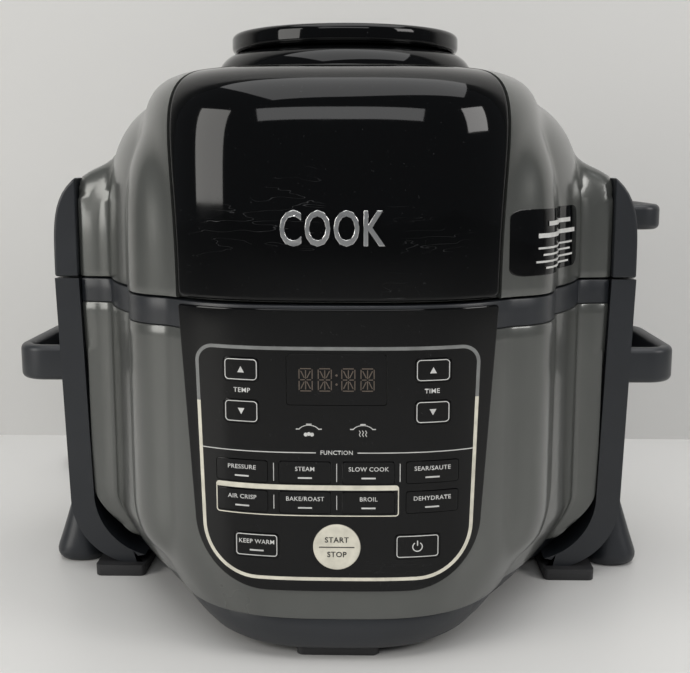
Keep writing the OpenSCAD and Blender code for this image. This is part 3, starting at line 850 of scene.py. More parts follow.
def side_limit(z, half, bottom, corner):
    """Half width of the sides at a height: they lean in and are rounded at the bottom."""
    x = half - LEAN * (SEAM_Z - z) / (SEAM_Z - bottom - corner)
    if z < bottom + corner:
        x = half - LEAN - corner + math.sqrt(max(corner ** 2 - (bottom + corner - z) ** 2, 0))
    return x


def tuck_at(z):
    """How far the crease runs in near the bottom."""
    s = max(0, (72 - z) / (72 - RIM_Z))
    return 26 * s ** 2.4


# Below this height the front is drawn in, by this share of its width at the feet
DRAW_Z, DRAW_SHARE = 52, 0.27


def narrowed(ring, z):
    """Draws the front of a row in towards the middle near the bottom."""
    share = DRAW_SHARE * (max(0, DRAW_Z - z) / (DRAW_Z - FOOT_H)) ** 1.4
    for point in ring:
        front = max(0, min(1, (10 - point.y) / 60))
        point.x *= 1 - share * front * front * (3 - 2 * front)
    return ring


class COOKER_OT_body(bpy.types.Operator):
    """Makes the painted body, the dark band under the seam and the bottom rim"""

    bl_idname = "cooker.body"
    bl_label = "Body"

    def execute(self, context):
        edge = sizes().edge / MM
        corner = PANEL_CORNER
        bottom = RIM_Z - corner / 3
        rings = []

        def add(z, grow):
            half = side_limit(z, PANEL_X, bottom, corner)
            rings.append(narrowed(row(lambda t: skin(t, grow, half, tuck_at(z)), z), z))

        add(RIM_Z, -WALL)
        add(RIM_Z, -edge)
        add(RIM_Z + 0.3 * edge, -0.3 * edge)
        steps = 40
        for i in range(steps + 1):
            share = (i / steps) ** 1.5
            add(RIM_Z + edge + (BAND_Z - 2 * edge - RIM_Z) * share, 0)
        add(BAND_Z - 0.3 * edge, -0.3 * edge)
        add(BAND_Z - 0.05, -edge)
        add(BAND_Z - 0.05, -WALL)
        for share in (0.75, 0.5, 0.25):
            add(RIM_Z + (BAND_Z - RIM_Z) * share, -WALL)
        piece("body_shell", loft(rings, closed=True), "charcoal_paint", "base", ("base_shell",), 40)

        hole, ledge, ledge_z = 118.5, 125.0, SEAM_Z - 7
        rings = []
        for r, z in ((hole, BAND_Z), (hole, ledge_z - 0.4), (hole + 0.4, ledge_z), (ledge, ledge_z),
                     (ledge, SEAM_Z - 0.6), (ledge + 0.6, SEAM_Z)):
            rings.append(row(lambda t: r, z))
        for z, grow in ((SEAM_Z, -0.5 - edge), (SEAM_Z - 0.3 * edge, -0.5 - 0.3 * edge),
                        (SEAM_Z - edge, -0.5), (BAND_Z + 7, -0.5), (BAND_Z + 0.5, -0.5), (BAND_Z, -1)):
            rings.append(row(lambda t: skin(t, grow, PANEL_X), z))
        piece("seam_band", loft(rings, closed=True), "black_plastic", "base", ("top_band",), 30)

        rings = []
        for z, grow in ((RIM_Z, -4), (RIM_Z, -1.4), (RIM_Z - 0.5, -1.05), (RIM_Z - 6, -1), (14, -1.6),
                        (9, -3.2), (FOOT_H + 1, -6.5), (FOOT_H, -8.5), (FOOT_H, -11), (14, -5.5), (RIM_Z - 3, -4)):
            rings.append(narrowed(row(lambda t: barrel(t, grow, tuck_at(RIM_Z)), z), z))
        piece("bottom_trim", loft(rings, closed=True), "black_plastic", "base", ("bottom_rim",), 40)
        lo, hi = low("bottom_cover"), high("bottom_cover")
        rings = [narrowed(row(lambda t: barrel(t, -10.2, tuck_at(RIM_Z)), z), FOOT_H) for z in (lo.z, hi.z)]
        under = piece("bottom_plate", loft(rings), "black_plastic", "base", ("bottom_cover",), 30)
        slots = bmesh.new()
        for x in range(-40, 41, 16):
            for y in (-62, 62):
                loft([[Vector((x + u, y + v, z)) for u, v in rounded(5, 44, 2.4)]
                      for z in (lo.z - 2, hi.z + 2)], bm=slots)
        cut(under, slots)
        return {"FINISHED"}


class COOKER_OT_side_frames(bpy.types.Operator):
    """Makes the dark frames at both sides of the body"""

    bl_idname = "cooker.side_frames"
    bl_label = "Side frames"

    def execute(self, context):
        gap = 0.35
        for s, name in ((-1, "left"), (1, "right")):
            corner = [FOOT_H + CORNER_R * (1 - sind(a)) for a in range(0, 91, 6)]
            outer = [(side_limit(z, FRAME_X, FOOT_H, CORNER_R), z) for z in [SEAM_Z, 140, 100, 60] + corner]
            inner_c = PANEL_CORNER
            inner_b = RIM_Z - inner_c / 3
            corner = [inner_b + inner_c * (1 - sind(a)) for a in range(78, -1, -6)]
            inner = [(side_limit(z, PANEL_X + gap, inner_b - gap, inner_c), z)
                     for z in corner + [60, 100, 140, SEAM_Z]]
            outline = outer + [(126, FOOT_H), (126, inner_b)] + inner
            bm = block(outline, lambda u, v, w: Vector((s * u, w, v)), (-SIDE_FRONT, SIDE_BACK))
            made = piece(f"side_frame_cover_{name}", bm, "black_plastic", "base", (f"side_frame_{name}",), 25)
            bevelled(made, 1.6, 4, 40)
        return {"FINISHED"}


def handle_path(root, out, length, corner, y, z, steps=10):
    """A flat U from the frame out, along and back."""
    half = length / 2
    path = [(root, y - half, z), (root + (out - corner) * 0.5, y - half, z)]
    for i in range(steps + 1):
        a = -90 + 90 * i / steps
        path.append((root + out - corner + corner * cosd(a), y - half + corner + corner * sind(a), z))
    for i in range(steps + 1):
        a = 90 * i / steps
        path.append((root + out - corner + corner * cosd(a), y + half - corner + corner * sind(a), z))
    path += [(root + (out - corner) * 0.5, y + half, z), (root, y + half, z)]
    return path


class COOKER_OT_handles(bpy.types.Operator):
    """Makes the two side handles and the lid's handle"""

    bl_idname = "cooker.handles"
    bl_label = "Handles"

    def execute(self, context):
        for s, name in ((-1, "left"), (1, "right")):
            lo, hi = low(f"handle_{name}"), high(f"handle_{name}")
            self.grip(f"side_handle_{name}", s, lo, hi, 8.0, 13.0, "base", f"handle_{name}")
        lo, hi = low("lid_handle"), high("lid_handle")
        self.grip("lid_grip", 1, lo, hi, 8.0, 9.0, "lid", "lid_handle")
        return {"FINISHED"}

    @staticmethod
    def grip(name, s, lo, hi, bar, corner, body, node):
        """A bar bent to a U."""
        inner = min(abs(lo.x), abs(hi.x)) - 1.5
        out = max(abs(lo.x), abs(hi.x)) - inner - bar / 2
        path = handle_path(inner, out, hi.y - lo.y - bar, corner, (hi.y + lo.y) / 2, (hi.z + lo.z) / 2)
        bm = swept([(s * x, y, z) for x, y, z in path], bar, hi.z - lo.z)
        piece(name, bm, "black_plastic", body, (node,), 50)


class COOKER_OT_feet(bpy.types.Operator):
    """Makes the flared side legs and the feet"""

    bl_idname = "cooker.feet"
    bl_label = "Legs and feet"

    def execute(self, context):
        lo, hi = low("side_legs"), high("side_legs")
        mid_y, bm = (lo.y + hi.y) / 2, bmesh.new()
        for s in (-1, 1):
            rings = []
            for z, back in ((0, 4), (0.8, 2.2), (2.2, 0.9), (4.5, 0.15), (7, 0), (10, 0.7), (18, 3.2),
                            (28, 6.3), (38, 9.4), (46, 11.9), (52, 13.8)):
                x1, half = hi.x - back, (hi.y - lo.y) / 2 - 0.9 * back
                x0 = 153 + z * 0.14
                rings.append([Vector((s * ((x0 + x1) / 2 + u), mid_y + v, z))
                              for u, v in rounded(x1 - x0, 2 * half, min(12, (x1 - x0) / 2 - 0.3))])
            loft(rings, bm=bm)
        piece("flared_legs", bm, "black_plastic", "base", ("side_legs",), 40)

        bm = bmesh.new()
        for y in (-FRONT_D + 17, HALF_W - 17):
            self.foot(bm, 0, y, 42, 13)
        for s in (-1, 1):
            self.foot(bm, s * (HALF_W - 5), -SIDE_FRONT + 14, 30, 40)
        piece("rubber_feet", bm, "rubber", "base", ("feet",), 40)
        return {"FINISHED"}

    @staticmethod
    def foot(bm, x, y, w, l):
        loft([[Vector((x + u, y + v, z)) for u, v in rounded(w - d, l - d, 3)]
              for z, d in ((0, 1.2), (0.6, 0.2), (FOOT_H, 0), (FOOT_H + 2, 0))], bm=bm)


# ---- control panel ---------------------------------------------------------------------

KEY_GAP = 0.2
KEY_PROUD = 0.05
KEY_T = 1.1


def fascia_outline(d=0.0):
    """Wide at the top, narrower below, with large round bottom corners."""
    lo, hi = low("fascia"), high("fascia")
    top, bottom, r = hi.z - d, lo.z + d, 36.0 - d
    half_top, half_low = 77.5 - d, 70.5 - d
    points = [(half_top, top - 1), (half_top - 1, top), (1 - half_top, top), (-half_top, top - 1)]
    points += [(r - half_low - r * cosd(a), bottom + r - r * sind(a)) for a in range(0, 91, 6)]
    points += [(half_low - r + r * sind(a), bottom + r - r * cosd(a)) for a in range(0, 91, 6)]
    return resampled(points, 3)


def middle_of(node):
    lo, hi = low(node), high(node)
    return (lo.x + hi.x) / 2, (lo.z + hi.z) / 2


# Width, height and corner radius of the keys, and the marks that they carry
ARROW, FUNCTION, CORNER = (17, 11.6, 2.2), (25, 11, 1.2), (21.6, 12.4, 1.8)
KEYS = {
    "temp_up": (ARROW, "up"), "temp_down": (ARROW, "down"), "time_up": (ARROW, "up"),
    "time_down": (ARROW, "down"), "pressure": (FUNCTION, "PRESSURE"), "steam": (FUNCTION, "STEAM"),
    "slow_cook": (FUNCTION, "SLOW COOK"), "sear": (FUNCTION, "SEAR/SAUTE"),
    "air_crisp": (FUNCTION, "AIR CRISP"), "bake": (FUNCTION, "BAKE/ROAST"), "broil": (FUNCTION, "BROIL"),
    "dehydrate": (FUNCTION, "DEHYDRATE"), "keep_warm": (CORNER, "KEEP WARM"), "power": (CORNER, "power"),
}
START_R = 11.6


class COOKER_OT_fascia(bpy.types.Operator):
    """Makes the glossy control panel and its display"""

    bl_idname = "cooker.fascia"
    bl_label = "Control panel"

    def execute(self, context):
        shares = [0.02 + 0.97 * i / 30 for i in range(31)]
        bm = plate(fascia_outline(), on_face, FASCIA_T, FASCIA_T, 0.6, shares=shares)
        made = piece("control_fascia", bm, "fascia_gloss", "base", ("fascia",), 32)
        holes = bmesh.new()
        for key, ((w, h, r), _) in KEYS.items():
            x, z = middle_of("key_" + key)
            outline = moved(resampled(rounded(w + 2 * KEY_GAP, h + 2 * KEY_GAP, r + KEY_GAP), 2), x, z)
            plate(outline, on_face, FASCIA_T + 2, FASCIA_T + 4, 0.1, bm=holes)
        x, z = middle_of("key_start_stop")
        plate(moved(disc(START_R + KEY_GAP), x, z), on_face, FASCIA_T + 2, FASCIA_T + 4, 0.1, bm=holes)
        x, z = middle_of("display_window")
        opening = moved(resampled(rounded(48, 25, 1.5), 2), x, z)
        plate(opening, on_face, FASCIA_T + 2, FASCIA_T + 4, 0.1, bm=holes)
        cut(made, holes)

        outline = moved(resampled(rounded(47.6, 24.6, 1.4), 2), x, z)
        shares = [0.02 + 0.96 * i / 14 for i in range(15)]
        bm = plate(outline, on_face, FASCIA_T - 0.05, 1.5, 0.2, shares=shares)
        piece("display_glass", bm, "display_lens", "base", ("display_window",), 40)
        return {"FINISHED"}


class COOKER_OT_keys(bpy.types.Operator):
    """Makes the keys with their printed marks"""

    bl_idname = "cooker.keys"
    bl_label = "Keys"

    def execute(self, context):
        top = FASCIA_T + KEY_PROUD
        for key, ((w, h, r), mark) in KEYS.items():
            node, body = "key_" + key, key + "_key"
            x, z = middle_of(node)
            outline = moved(resampled(rounded(w, h, r), 2), x, z)
            bm = plate(outline, on_face, top, KEY_T, 0.25)
            made = piece(key + "_button", bm, "fascia_gloss", body, (node,), 40)
            marks = Print(top=top)
            if mark in ("up", "down", "power") or key == "keep_warm":
                marks.frame(moved(rounded(w - 1.4, h - 1.4, r - 0.3), x, z), 0.4)
            if mark in ("up", "down"):
                s = 1.5 if mark == "up" else -1.5
                marks.fill([(x - 1.6, z - s), (x, z + s), (x + 1.6, z - s)][::1 if s > 0 else -1])
            elif mark == "power":
                self.power_sign(marks, x, z)
            else:
                marks.words(mark, x, z + 1.7, 2.15)
                marks.line(x - 3.4, z - 2.7, x + 3.4, z - 2.7, 0.75)
            marks.piece(key + "_marks", "ink", body).parent = made
        node = "key_start_stop"
        x, z = middle_of(node)
        made = piece("start_stop_button", plate(moved(disc(START_R), x, z), on_face, top + 0.2, KEY_T, 0.5),
                     "cream_key", "start_stop_key", (node,), 40)
        marks = Print(top=top + 0.2)
        marks.words("START", x, z + 3.6, 2.7, 0.02)
        marks.words("STOP", x, z - 3.8, 2.7, 0.02)
        marks.line(x - 8.6, z, x + 8.6, z, 0.45)
        marks.piece("start_stop_marks", "black_ink", "start_stop_key").parent = made
        return {"FINISHED"}

    @staticmethod
    def power_sign(marks, x, z):
        marks.arc(x, z - 0.2, 2.3, 125, 290, 24)
        marks.line(x, z + 0.4, x, z + 2.9, 0.5)


class COOKER_OT_prints(bpy.types.Operator):
    """Prints the lines, boxes, signs and words of the control panel"""

    bl_idname = "cooker.prints"
    bl_label = "Printed marks"

    def execute(self, context):
        width = sizes().trim / MM
        trim = self.trim_outline()
        upper = Print()
        lower = Print()
        n = len(trim)
        inner = inset(trim, width)
        for i in range(n):
            quad = [trim[i], trim[(i + 1) % n], inner[(i + 1) % n], inner[i]]
            (upper if quad[0][1] > 134 else lower).fill(quad)
        upper.piece("trim_line_upper", "trim_grey", "base")

        marks = Print()
        marks.words("TEMP", -45.3, 139.8, 2.3)
        marks.words("TIME", 45.3, 139.8, 2.3)
        marks.words("FUNCTION", 0, 109.9, 2.1)
        marks.line(-65.5, 109.9, -10, 109.9, 0.45)
        marks.line(10, 109.9, 65.5, 109.9, 0.45)
        for x, z, h in ((-30.4, 100, 9), (0, 100, 9), (30.4, 100, 9), (-30.4, 85, 7), (0, 85, 7)):
            marks.line(x, z - h / 2, x, z + h / 2, 0.35)
        self.lid_sign(marks, -13.3, 121.6, steam=False)
        self.lid_sign(marks, 12.6, 121.6, steam=True)
        marks.piece("panel_marks", "ink", "base")

        box = resampled(rounded(88.7, 15.6, 1.6), 2.5)
        lower.frame(moved(box, -14.4, 85.9), 0.5)
        lower.line(-58.2, 92.3, 29.4, 92.3, 2.2)
        lower.piece("cream_marks", "cream_key", "base")
        self.display()
        return {"FINISHED"}

    @staticmethod
    def trim_outline():
        """The line round the controls: square at the top, rounder below, narrowing downwards."""
        half_top, half_low, top, bottom, r, big = 68.3, 66.0, 161.6, 45.2, 9.0, 27.0
        points = [(half_top - r + r * cosd(a), top - r + r * sind(a)) for a in range(0, 91, 9)]
        points += [(r - half_top + r * cosd(a), top - r + r * sind(a)) for a in range(90, 181, 9)]
        points += [(big - half_low + big * cosd(a), bottom + big + big * sind(a)) for a in range(180, 271, 6)]
        points += [(half_low - big + big * cosd(a), bottom + big + big * sind(a)) for a in range(270, 361, 6)]
        return resampled(points, 2.5)

    @staticmethod
    def lid_sign(marks, x, z, steam):
        """A small domed lid with steam or heat below it."""
        marks.arc(x, z - 1.2, 5.0, 25, 130, 10, 0.62)
        marks.line(x - 6.2, z, x - 4.4, z, 0.5)
        marks.line(x + 4.4, z, x + 6.2, z, 0.5)
        marks.line(x - 1.3, z + 2.4, x + 1.3, z + 2.4, 0.5)
        for k in (-1, 0, 1):
            u = x + 1.5 * k
            if steam:
                for i in range(3):
                    lean = 0.3 if i % 2 else -0.3
                    marks.line(u - lean, z - 3.6 + i, u + lean, z - 2.6 + i, 0.35)
            else:
                marks.fill(moved([(0.95 * cosd(a * 30), 0.95 * sind(a * 30)) for a in range(12)],
                                 u, z - 2.4 - 0.3 * abs(k)))

    @staticmethod
    def display():
        """Four unlit characters of fourteen segments, and a colon."""
        marks = Print(top=FASCIA_T - 0.05)
        x0, z0 = middle_of("display_window")
        half_w, half_h, w = 3.1, 5.4, 0.5
        for x in (-14.7, -5.6, 5.6, 14.7):
            x += x0
            for dz in (half_h, -half_h):
                marks.line(x - half_w + 0.5, z0 + dz, x + half_w - 0.5, z0 + dz, w)
            for s in (-1, 1):
                marks.line(x + s * 0.5, z0, x + s * (half_w - 0.5), z0, w)
                for v in (-1, 1):
                    marks.line(x + s * half_w, z0 + 0.5 * v, x + s * half_w, z0 + v * (half_h - 0.4), w)
                    marks.line(x + s * 0.6, z0 + v * 0.9, x + s * (half_w - 0.8), z0 + v * (half_h - 1.1), w)
            for v in (-1, 1):
                marks.line(x, z0 + 0.5 * v, x, z0 + v * (half_h - 0.7), w)
        for v in (-1, 1):
            marks.fill(moved(disc(0.55, 12), x0, z0 + 2.2 * v))
        marks.piece("display_characters", "display_segments", "base")


# ---- lid -------------------------------------------------------------------------------

CHEEK_Q, VISOR_Q, POD_H, POD_Q, LID_BLEND = 4.2, 8.0, 74.0, 4.5, 5.0
COLLAR_R = 76.0
PANEL_TURN, PANEL_RISE, PANEL_T = 31.0, 43.0, 2.4
# How far each edge of the panel swings out at its top, and the rise at which the columns run straight again
PANEL_FLARE, FLARE_END = 5, 51


def solid_reach(t, e, a, front, back, c, p, q):
    return ((cosd(e) / reach(t, a, front, back, p)) ** q + (max(sind(e), 0) / c) ** q) ** (-1 / q)


def lid_reach(t, e, off=0.0):
    cheek = solid_reach(t, e, HALF_W + off, HALF_W + off, HALF_W + off, DOME_H - 3 + off, 2, CHEEK_Q)
    hip = solid_reach(t, e, HIP[0] + off, HIP[1] + off, HIP[2] + off, DOME_H - 8 + off, HIP[3], CHEEK_Q)
    visor = solid_reach(t, e, SHIELD_X + off, FRONT_D + off, SHIELD_BACK + off, DOME_H + off,
                        SHIELD_P, VISOR_Q)
    pod = min(solid_reach(t, e, FRAME_X + off, SIDE_FRONT + off, SIDE_BACK + off, POD_H + off, SIDE_P, POD_Q),
              (PANEL_X + off) / (cosd(e) * max(abs(cosd(t)), 0.001)))
    k = sizes().crease / MM
    return soft_max(soft_max(soft_max(cheek, hip, k), visor, LID_BLEND), pod, 9.0)


def lid_point(t, e, off=0.0):
    d = lid_reach(t, e, off)
    return Vector((d * cosd(e) * cosd(t), d * cosd(e) * sind(t), LID_Z + d * sind(e)))


def dome_z(t, r, off=0.0):
    return LID_Z + (DOME_H + off) * (1 - min(r / shield(t), 1) ** VISOR_Q) ** (1 / VISOR_Q)


def panel_turn(e):
    """Half the glossy panel's angle at a rise: it widens upwards."""
    fade = min(1, max(0, FLARE_END - e) / (FLARE_END - PANEL_RISE))
    return PANEL_TURN + PANEL_FLARE * (min(e, PANEL_RISE) / PANEL_RISE) ** 2 * fade


def warped(t, e):
    """Moves the lid's columns so that two of them follow the panel's edges."""
    a = t - 270
    bump = max(0, 1 - abs(abs(a) - PANEL_TURN) / PANEL_TURN)
    return t + math.copysign((panel_turn(e) - PANEL_TURN) * bump, a)


def panel_slack(t, e):
    """How far inside the glossy panel's window a place is, in degrees. Below 0 is outside."""
    return min(PANEL_TURN + 0.35 - abs(t - 270), PANEL_RISE + 0.3 - e)


class COOKER_OT_lid(bpy.types.Operator):
    """Makes the painted lid with the recess for its glossy panel"""

    bl_idname = "cooker.lid"
    bl_label = "Lid shell"

    def execute(self, context):
        edge = sizes().edge / MM
        window = [270 + s * (PANEL_TURN + d) for s in (-1, 1) for d in (0.33, 0.37)]
        turns = angles(312, window)
        rises = sorted([0.55 + 51.5 * (i / 44) for i in range(45)] + [PANEL_RISE + 0.27, PANEL_RISE + 0.33])
        recess = PANEL_T + 0.4

        def at(t, e, off):
            return lid_point(warped(t, e), e, off - (recess if panel_slack(t, e) > 0 else 0))

        rings = [[at(t, 0, -WALL) for t in turns]]
        for z, off in ((0, -edge), (0.3 * edge, -0.3 * edge)):
            level = [at(t, 0, off) for t in turns]
            for point in level:
                point.z = LID_Z + z
            rings.append(level)
        rings += [[at(t, e, 0) for t in turns] for e in rises]
        for share in (0.5, 0.8, 1.0):
            rings.append([self.shoulder(t, rises[-1], share, 0) for t in turns])
        rings.append([self.shoulder(t, rises[-1], 1.0, -WALL) for t in turns])
        for e in (50, 44, 36, 28, 20, 12, 5):
            rings.append([at(t, e, -WALL) for t in turns])
        piece("lid_cover", loft(rings, closed=True), "charcoal_paint", "lid", ("lid_shell",), 38)
        return {"FINISHED"}

    @staticmethod
    def shoulder(t, e, share, off):
        """From the last row in to the foot of the collar, over the top of the dome."""
        start = lid_point(t, e, off)
        r0 = math.hypot(start.x, start.y)
        r = r0 + (COLLAR_R - r0) * share
        z = start.z + (dome_z(t, COLLAR_R, off) - start.z) * (1 - (1 - share) ** 2)
        return Vector((r * cosd(t), r * sind(t), z))


class COOKER_OT_lid_panel(bpy.types.Operator):
    """Makes the glossy panel on the front of the lid"""

    bl_idname = "cooker.lid_panel"
    bl_label = "Lid's glossy panel"

    def execute(self, context):
        across, up = 72, 60
        bm = bmesh.new()
        bmesh.ops.create_grid(bm, x_segments=across, y_segments=up, size=1)
        made = bmesh.ops.extrude_face_region(bm, geom=list(bm.faces), use_keep_orig=True)
        for vert in made["geom"]:
            if isinstance(vert, bmesh.types.BMVert):
                vert.co.z = -0.9
        for vert in bm.verts:
            vert.co = self.place(self.spread(vert.co.x), self.spread(vert.co.y), vert.co.z)
        piece("lid_gloss_panel", bm, "gloss_black", "lid", ("lid_front_panel",), 60)
        return {"FINISHED"}

    @staticmethod
    def spread(u):
        """Crowds the rows towards both edges."""
        return math.copysign(1 - (1 - abs(u)) ** 1.7, u)

    @staticmethod
    def place(u, v, depth):
        """u and v run from -1 to 1 over the panel. Its edges turn in over a small radius."""
        corner = 0.06
        far = max(abs(u), abs(v))
        if min(abs(u), abs(v)) > 1 - corner:
            du, dv = (abs(u) - 1 + corner) / corner, (abs(v) - 1 + corner) / corner
            size = math.hypot(du, dv) or 1
            grow = max(du, dv) / size
            u = math.copysign(1 - corner + corner * du * grow, u)
            v = math.copysign(1 - corner + corner * dv * grow, v)
        e = (PANEL_RISE - 0.25) * (v + 1) / 2 + 0.25
        t = 270 + panel_turn(e) * u
        inside = (1 - far) * 60
        fall = 1.4 * (1 - math.sqrt(max(0, 1 - max(0, 1 - inside / 1.4) ** 2)))
        return lid_point(t, e, depth - 0.1 - fall)


class COOKER_OT_lid_caps(bpy.types.Operator):
    """Makes the dark caps at both sides of the lid"""

    bl_idname = "cooker.lid_caps"
    bl_label = "Lid caps"

    def execute(self, context):
        x_in = PANEL_X + 0.3
        for s, name in ((-1, "left"), (1, "right")):
            arc = []
            for i in range(61):
                e = i * 1.5
                d = solid_reach(0, e, FRAME_X, FRAME_X, FRAME_X, POD_H, 2, POD_Q)
                if d * cosd(e) > x_in:
                    arc.append((d * cosd(e), d * sind(e)))
            top = POD_H * (1 - (x_in / FRAME_X) ** POD_Q) ** (1 / POD_Q)
            outline = [(x_in, 0)] + arc + [(x_in, top)]
            bm = block(outline, lambda u, v, w: Vector((s * u, w, LID_Z + v)), (-SIDE_FRONT, SIDE_BACK))
            made = piece(f"lid_side_cover_{name}", bm, "black_plastic", "lid", (f"lid_cap_{name}",), 25)
            bevelled(made, 1.6, 4, 40)
        return {"FINISHED"}


class COOKER_OT_lid_top(bpy.types.Operator):
    """Makes the collar, the glossy ring and the vent on top of the lid"""

    bl_idname = "cooker.lid_top"
    bl_label = "Top of the lid"

    def execute(self, context):
        lo = low("lid_collar")
        ring_lo, ring_hi = low("lid_ring"), high("lid_ring")
        ring_r = ring_hi.x
        curl = COLLAR_R - 0.5 - (ring_r - 6)
        steps = 12
        height = ring_lo.z - lo.z
        outer = [(ring_r - 6 + curl * cosd(90 * i / steps), lo.z - 1.4 + (height + 1.4) * sind(90 * i / steps))
                 for i in range(steps + 1)]
        inner = [(ring_r - 9, ring_lo.z), (ring_r - 9, ring_lo.z - 3), (COLLAR_R - 4, lo.z - 1.4)]
        piece("lid_collar_cover", turned(outer + inner), "ring_gloss", "lid", ("lid_collar",), 40)

        r0, r1, z0, z1 = ring_r - 9, ring_r, ring_lo.z, ring_hi.z
        edge = 3.4
        profile = [(r0 + 0.2, z0), (r1 - edge, z0)]
        profile += [(r1 - edge + edge * sind(a), z0 + edge - edge * cosd(a)) for a in range(15, 91, 15)]
        profile += [(r1 - edge + edge * cosd(a), z1 - edge + edge * sind(a)) for a in range(0, 91, 10)]
        profile += [(r0 + 2.4, z1 - 0.4), (r0 + 0.8, z1 - 1.6), (r0 + 0.2, z1 - 3.4)]
        piece("top_ring", turned(profile, 160), "ring_gloss", "lid", ("lid_ring",), 40)
        self.vent(r0, low("vent_cover").z)
        return {"FINISHED"}

    @staticmethod
    def vent(r, z):
        """A slotted dish inside the ring."""
        profile = [(0.5, z), (r - 0.3, z), (r - 0.3, z + 4.5), (r - 3, z + 4.5), (r - 5, z + 3), (20, z + 3),
                   (17, z + 3.8), (14, z + 4.2), (0.5, z + 4.4)]
        made = piece("vent_dish", turned(profile, 96), "black_plastic", "lid", ("vent_cover",), 30)
        slots = bmesh.new()
        count = 30
        for i in range(count):
            for r0, r1 in ((22, 34), (37, 49)):
                a = i * 360 / count + (0 if r0 < 30 else 6)
                outline = rounded(r1 - r0, 2.6, 1.25, 4)
                loft([[Vector(((r0 + r1) / 2 * cosd(a) + u * cosd(a) - v * sind(a),
                                (r0 + r1) / 2 * sind(a) + u * sind(a) + v * cosd(a), z + w)) for u, v in outline]
                      for w in (-2, 6)], bm=slots)
        cut(made, slots)


# The label's middle on the right cheek: degrees round, degrees a millimetre, and height on the lid
LABEL_TURN, LABEL_SPREAD, LABEL_RISE = 320.6, 0.94, 26.5


def rise_at(t, z, halvings):
    """The rise at which the lid's face reaches a height."""
    below, above = 0.2, 44.0
    for _ in range(halvings):
        e = (below + above) / 2
        if lid_point(t, e).z < z:
            below = e
        else:
            above = e
    return e


class COOKER_OT_badge(bpy.types.Operator):
    """Puts a plain badge and a plain label on the lid"""

    bl_idname = "cooker.badge"
    bl_label = "Badge and label"

    def execute(self, context):
        height = sizes().badge_h / MM
        shape = words_shape("COOK", height, 0.025)
        for vert in shape.verts:
            vert.co = self.on_lid(vert.co.x * 0.68 - 2.5, 216.5 + vert.co.y, 0.0)
        for face in shape.faces:
            face.normal_update()
            if face.normal.y > 0:
                face.normal_flip()
        bmesh.ops.solidify(shape, geom=list(shape.faces), thickness=-1.1)
        made = piece("lid_badge", shape, "chrome", "lid", (), 30, 0.0001)
        bevelled(made, 0.16, 2, 40)

        lift = self.on_cheek
        outline = resampled(rounded(37, 33, 4), 2)
        shares = [0.02 + 0.96 * i / 12 for i in range(13)]
        bm = plate(outline, lift, 0.25, 0.5, 0.1, shares=shares)
        label = piece("lid_label", bm, "fascia_gloss", "lid", (), 60)
        marks = Print(lift, 0.55)
        for x, z, w, h in ((2, 9, 20, 3.6), (2, 3.2, 27, 3.6), (1, -3, 25, 1.6), (1, -6.4, 22, 1.6),
                           (1, -9.8, 26, 1.6), (1, -13, 20, 1.6)):
            marks.line(x - w / 2, z, x + w / 2, z, h * 0.62)
        marks.piece("lid_label_marks", "ink", "lid").parent = label
        return {"FINISHED"}

    @staticmethod
    def on_lid(x, z, out):
        """A point on the glossy panel, found along its own reach."""
        t = 270 + math.degrees(math.asin(max(-0.9, min(0.9, x / 152))))
        for _ in range(6):
            e = rise_at(t, z, 18)
            here = lid_point(t, e)
            t += math.degrees((x - here.x) / 152)
        here = lid_point(t, e, out)
        return Vector((x, here.y, z))

    @staticmethod
    def on_cheek(x, z, out):
        """A point on the right cheek, about the middle of the label."""
        t = LABEL_TURN + x * LABEL_SPREAD
        return lid_point(t, rise_at(t, LID_Z + LABEL_RISE + z, 20), out)


# ---- inner parts -----------------------------------------------------------------------


class COOKER_OT_pot(bpy.types.Operator):
    """Makes the removable cooking pot"""

    bl_idname = "cooker.pot"
    bl_label = "Cooking pot"

    def execute(self, context):
        hi, lo = high("cooking_pot"), low("cooking_pot")
        r, rim_r, t, base = 117.0, hi.x, 1.5, 12.0
        profile = [(0.3, lo.z)] + [(r - base + base * sind(a), lo.z + base - base * cosd(a)) for a in range(0, 91, 9)]
        profile += [(r, hi.z - 3.5), (r + 0.8, hi.z - 1.8), (rim_r - 0.8, hi.z - 1.6), (rim_r, hi.z - 0.8),
                    (rim_r - 0.8, hi.z), (r + 1, hi.z), (r - t + 0.3, hi.z - 0.8), (r - t, hi.z - 2.4)]
        profile += [(r - base + (base - t) * cosd(a), lo.z + base - (base - t) * sind(a)) for a in range(0, 91, 9)]
        profile += [(0.3, lo.z + t)]
        piece("inner_pot", turned(profile, 144), "pot_coating", "base", ("cooking_pot",), 40)
        return {"FINISHED"}


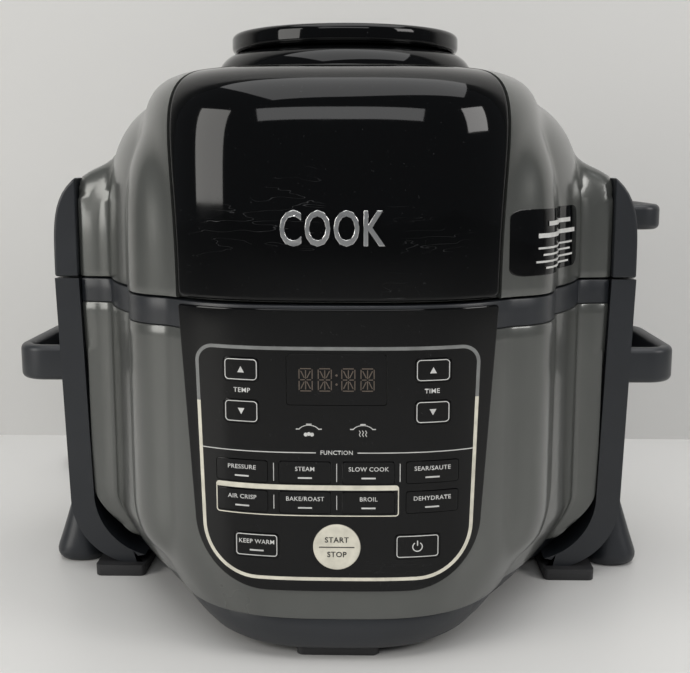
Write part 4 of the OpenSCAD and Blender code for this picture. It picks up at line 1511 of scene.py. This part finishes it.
# Finishes of the CAD nodes whose shape is shown as it is
NODE_FINISHES = {
    "steel": ["base_screws", "sensor_spring", "hinge_pin", "fan_guard", "motor_shaft"],
    "aluminium": ["heater_housing", "heating_plate", "pot_sensor", "lid_liner", "hot_air_fan", "fan_motor"],
    "heater_sheath": ["heating_coil"],
    "circuit_board": ["control_board", "power_board"],
    "black_plastic": ["bottom_cover", "hinge_bracket", "hinge_arm", "cooling_fan"],
    "smoke_plastic": ["drip_cup"],
}


class COOKER_OT_inner_finishes(bpy.types.Operator):
    """Gives the hinge, the fans, the heaters and the other plain parts their finishes"""

    bl_idname = "cooker.inner_finishes"
    bl_label = "Finishes of the inner parts"

    def execute(self, context):
        for finish, nodes in NODE_FINISHES.items():
            for name in nodes:
                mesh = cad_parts[name].data
                mesh.materials.clear()
                mesh.materials.append(finish_of(finish))
        return {"FINISHED"}


# ---- panel and registration ------------------------------------------------------------

OPERATORS = [COOKER_OT_stage, COOKER_OT_cord, COOKER_OT_body, COOKER_OT_side_frames, COOKER_OT_handles,
             COOKER_OT_feet, COOKER_OT_fascia, COOKER_OT_keys, COOKER_OT_prints, COOKER_OT_lid,
             COOKER_OT_lid_panel, COOKER_OT_lid_caps, COOKER_OT_lid_top, COOKER_OT_badge, COOKER_OT_pot,
             COOKER_OT_inner_finishes]


class COOKER_PT_panel(bpy.types.Panel):
    """Lists the cooker's settings and pieces"""

    bl_idname = "COOKER_PT_panel"
    bl_label = "Pressure cooker"
    bl_space_type = "VIEW_3D"
    bl_region_type = "UI"
    bl_category = "Cooker"

    def draw(self, context):
        for group in (context.scene.cooker_sizes, context.scene.cooker_colours):
            for name in group.__annotations__:
                self.layout.prop(group, name)
        for operator in OPERATORS:
            self.layout.operator(operator.bl_idname)


CLASSES = [CookerSizes, CookerColours, *OPERATORS, COOKER_PT_panel]


def register():
    for item in CLASSES:
        bpy.utils.register_class(item)
    bpy.types.Scene.cooker_sizes = PointerProperty(type=CookerSizes)
    bpy.types.Scene.cooker_colours = PointerProperty(type=CookerColours)


def unregister():
    del bpy.types.Scene.cooker_colours
    del bpy.types.Scene.cooker_sizes
    for item in reversed(CLASSES):
        bpy.utils.unregister_class(item)


def main():
    register()
    for operator in OPERATORS:
        group, name = operator.bl_idname.split(".")
        getattr(getattr(bpy.ops, group), name)()


if __name__ == "__main__":
    main()
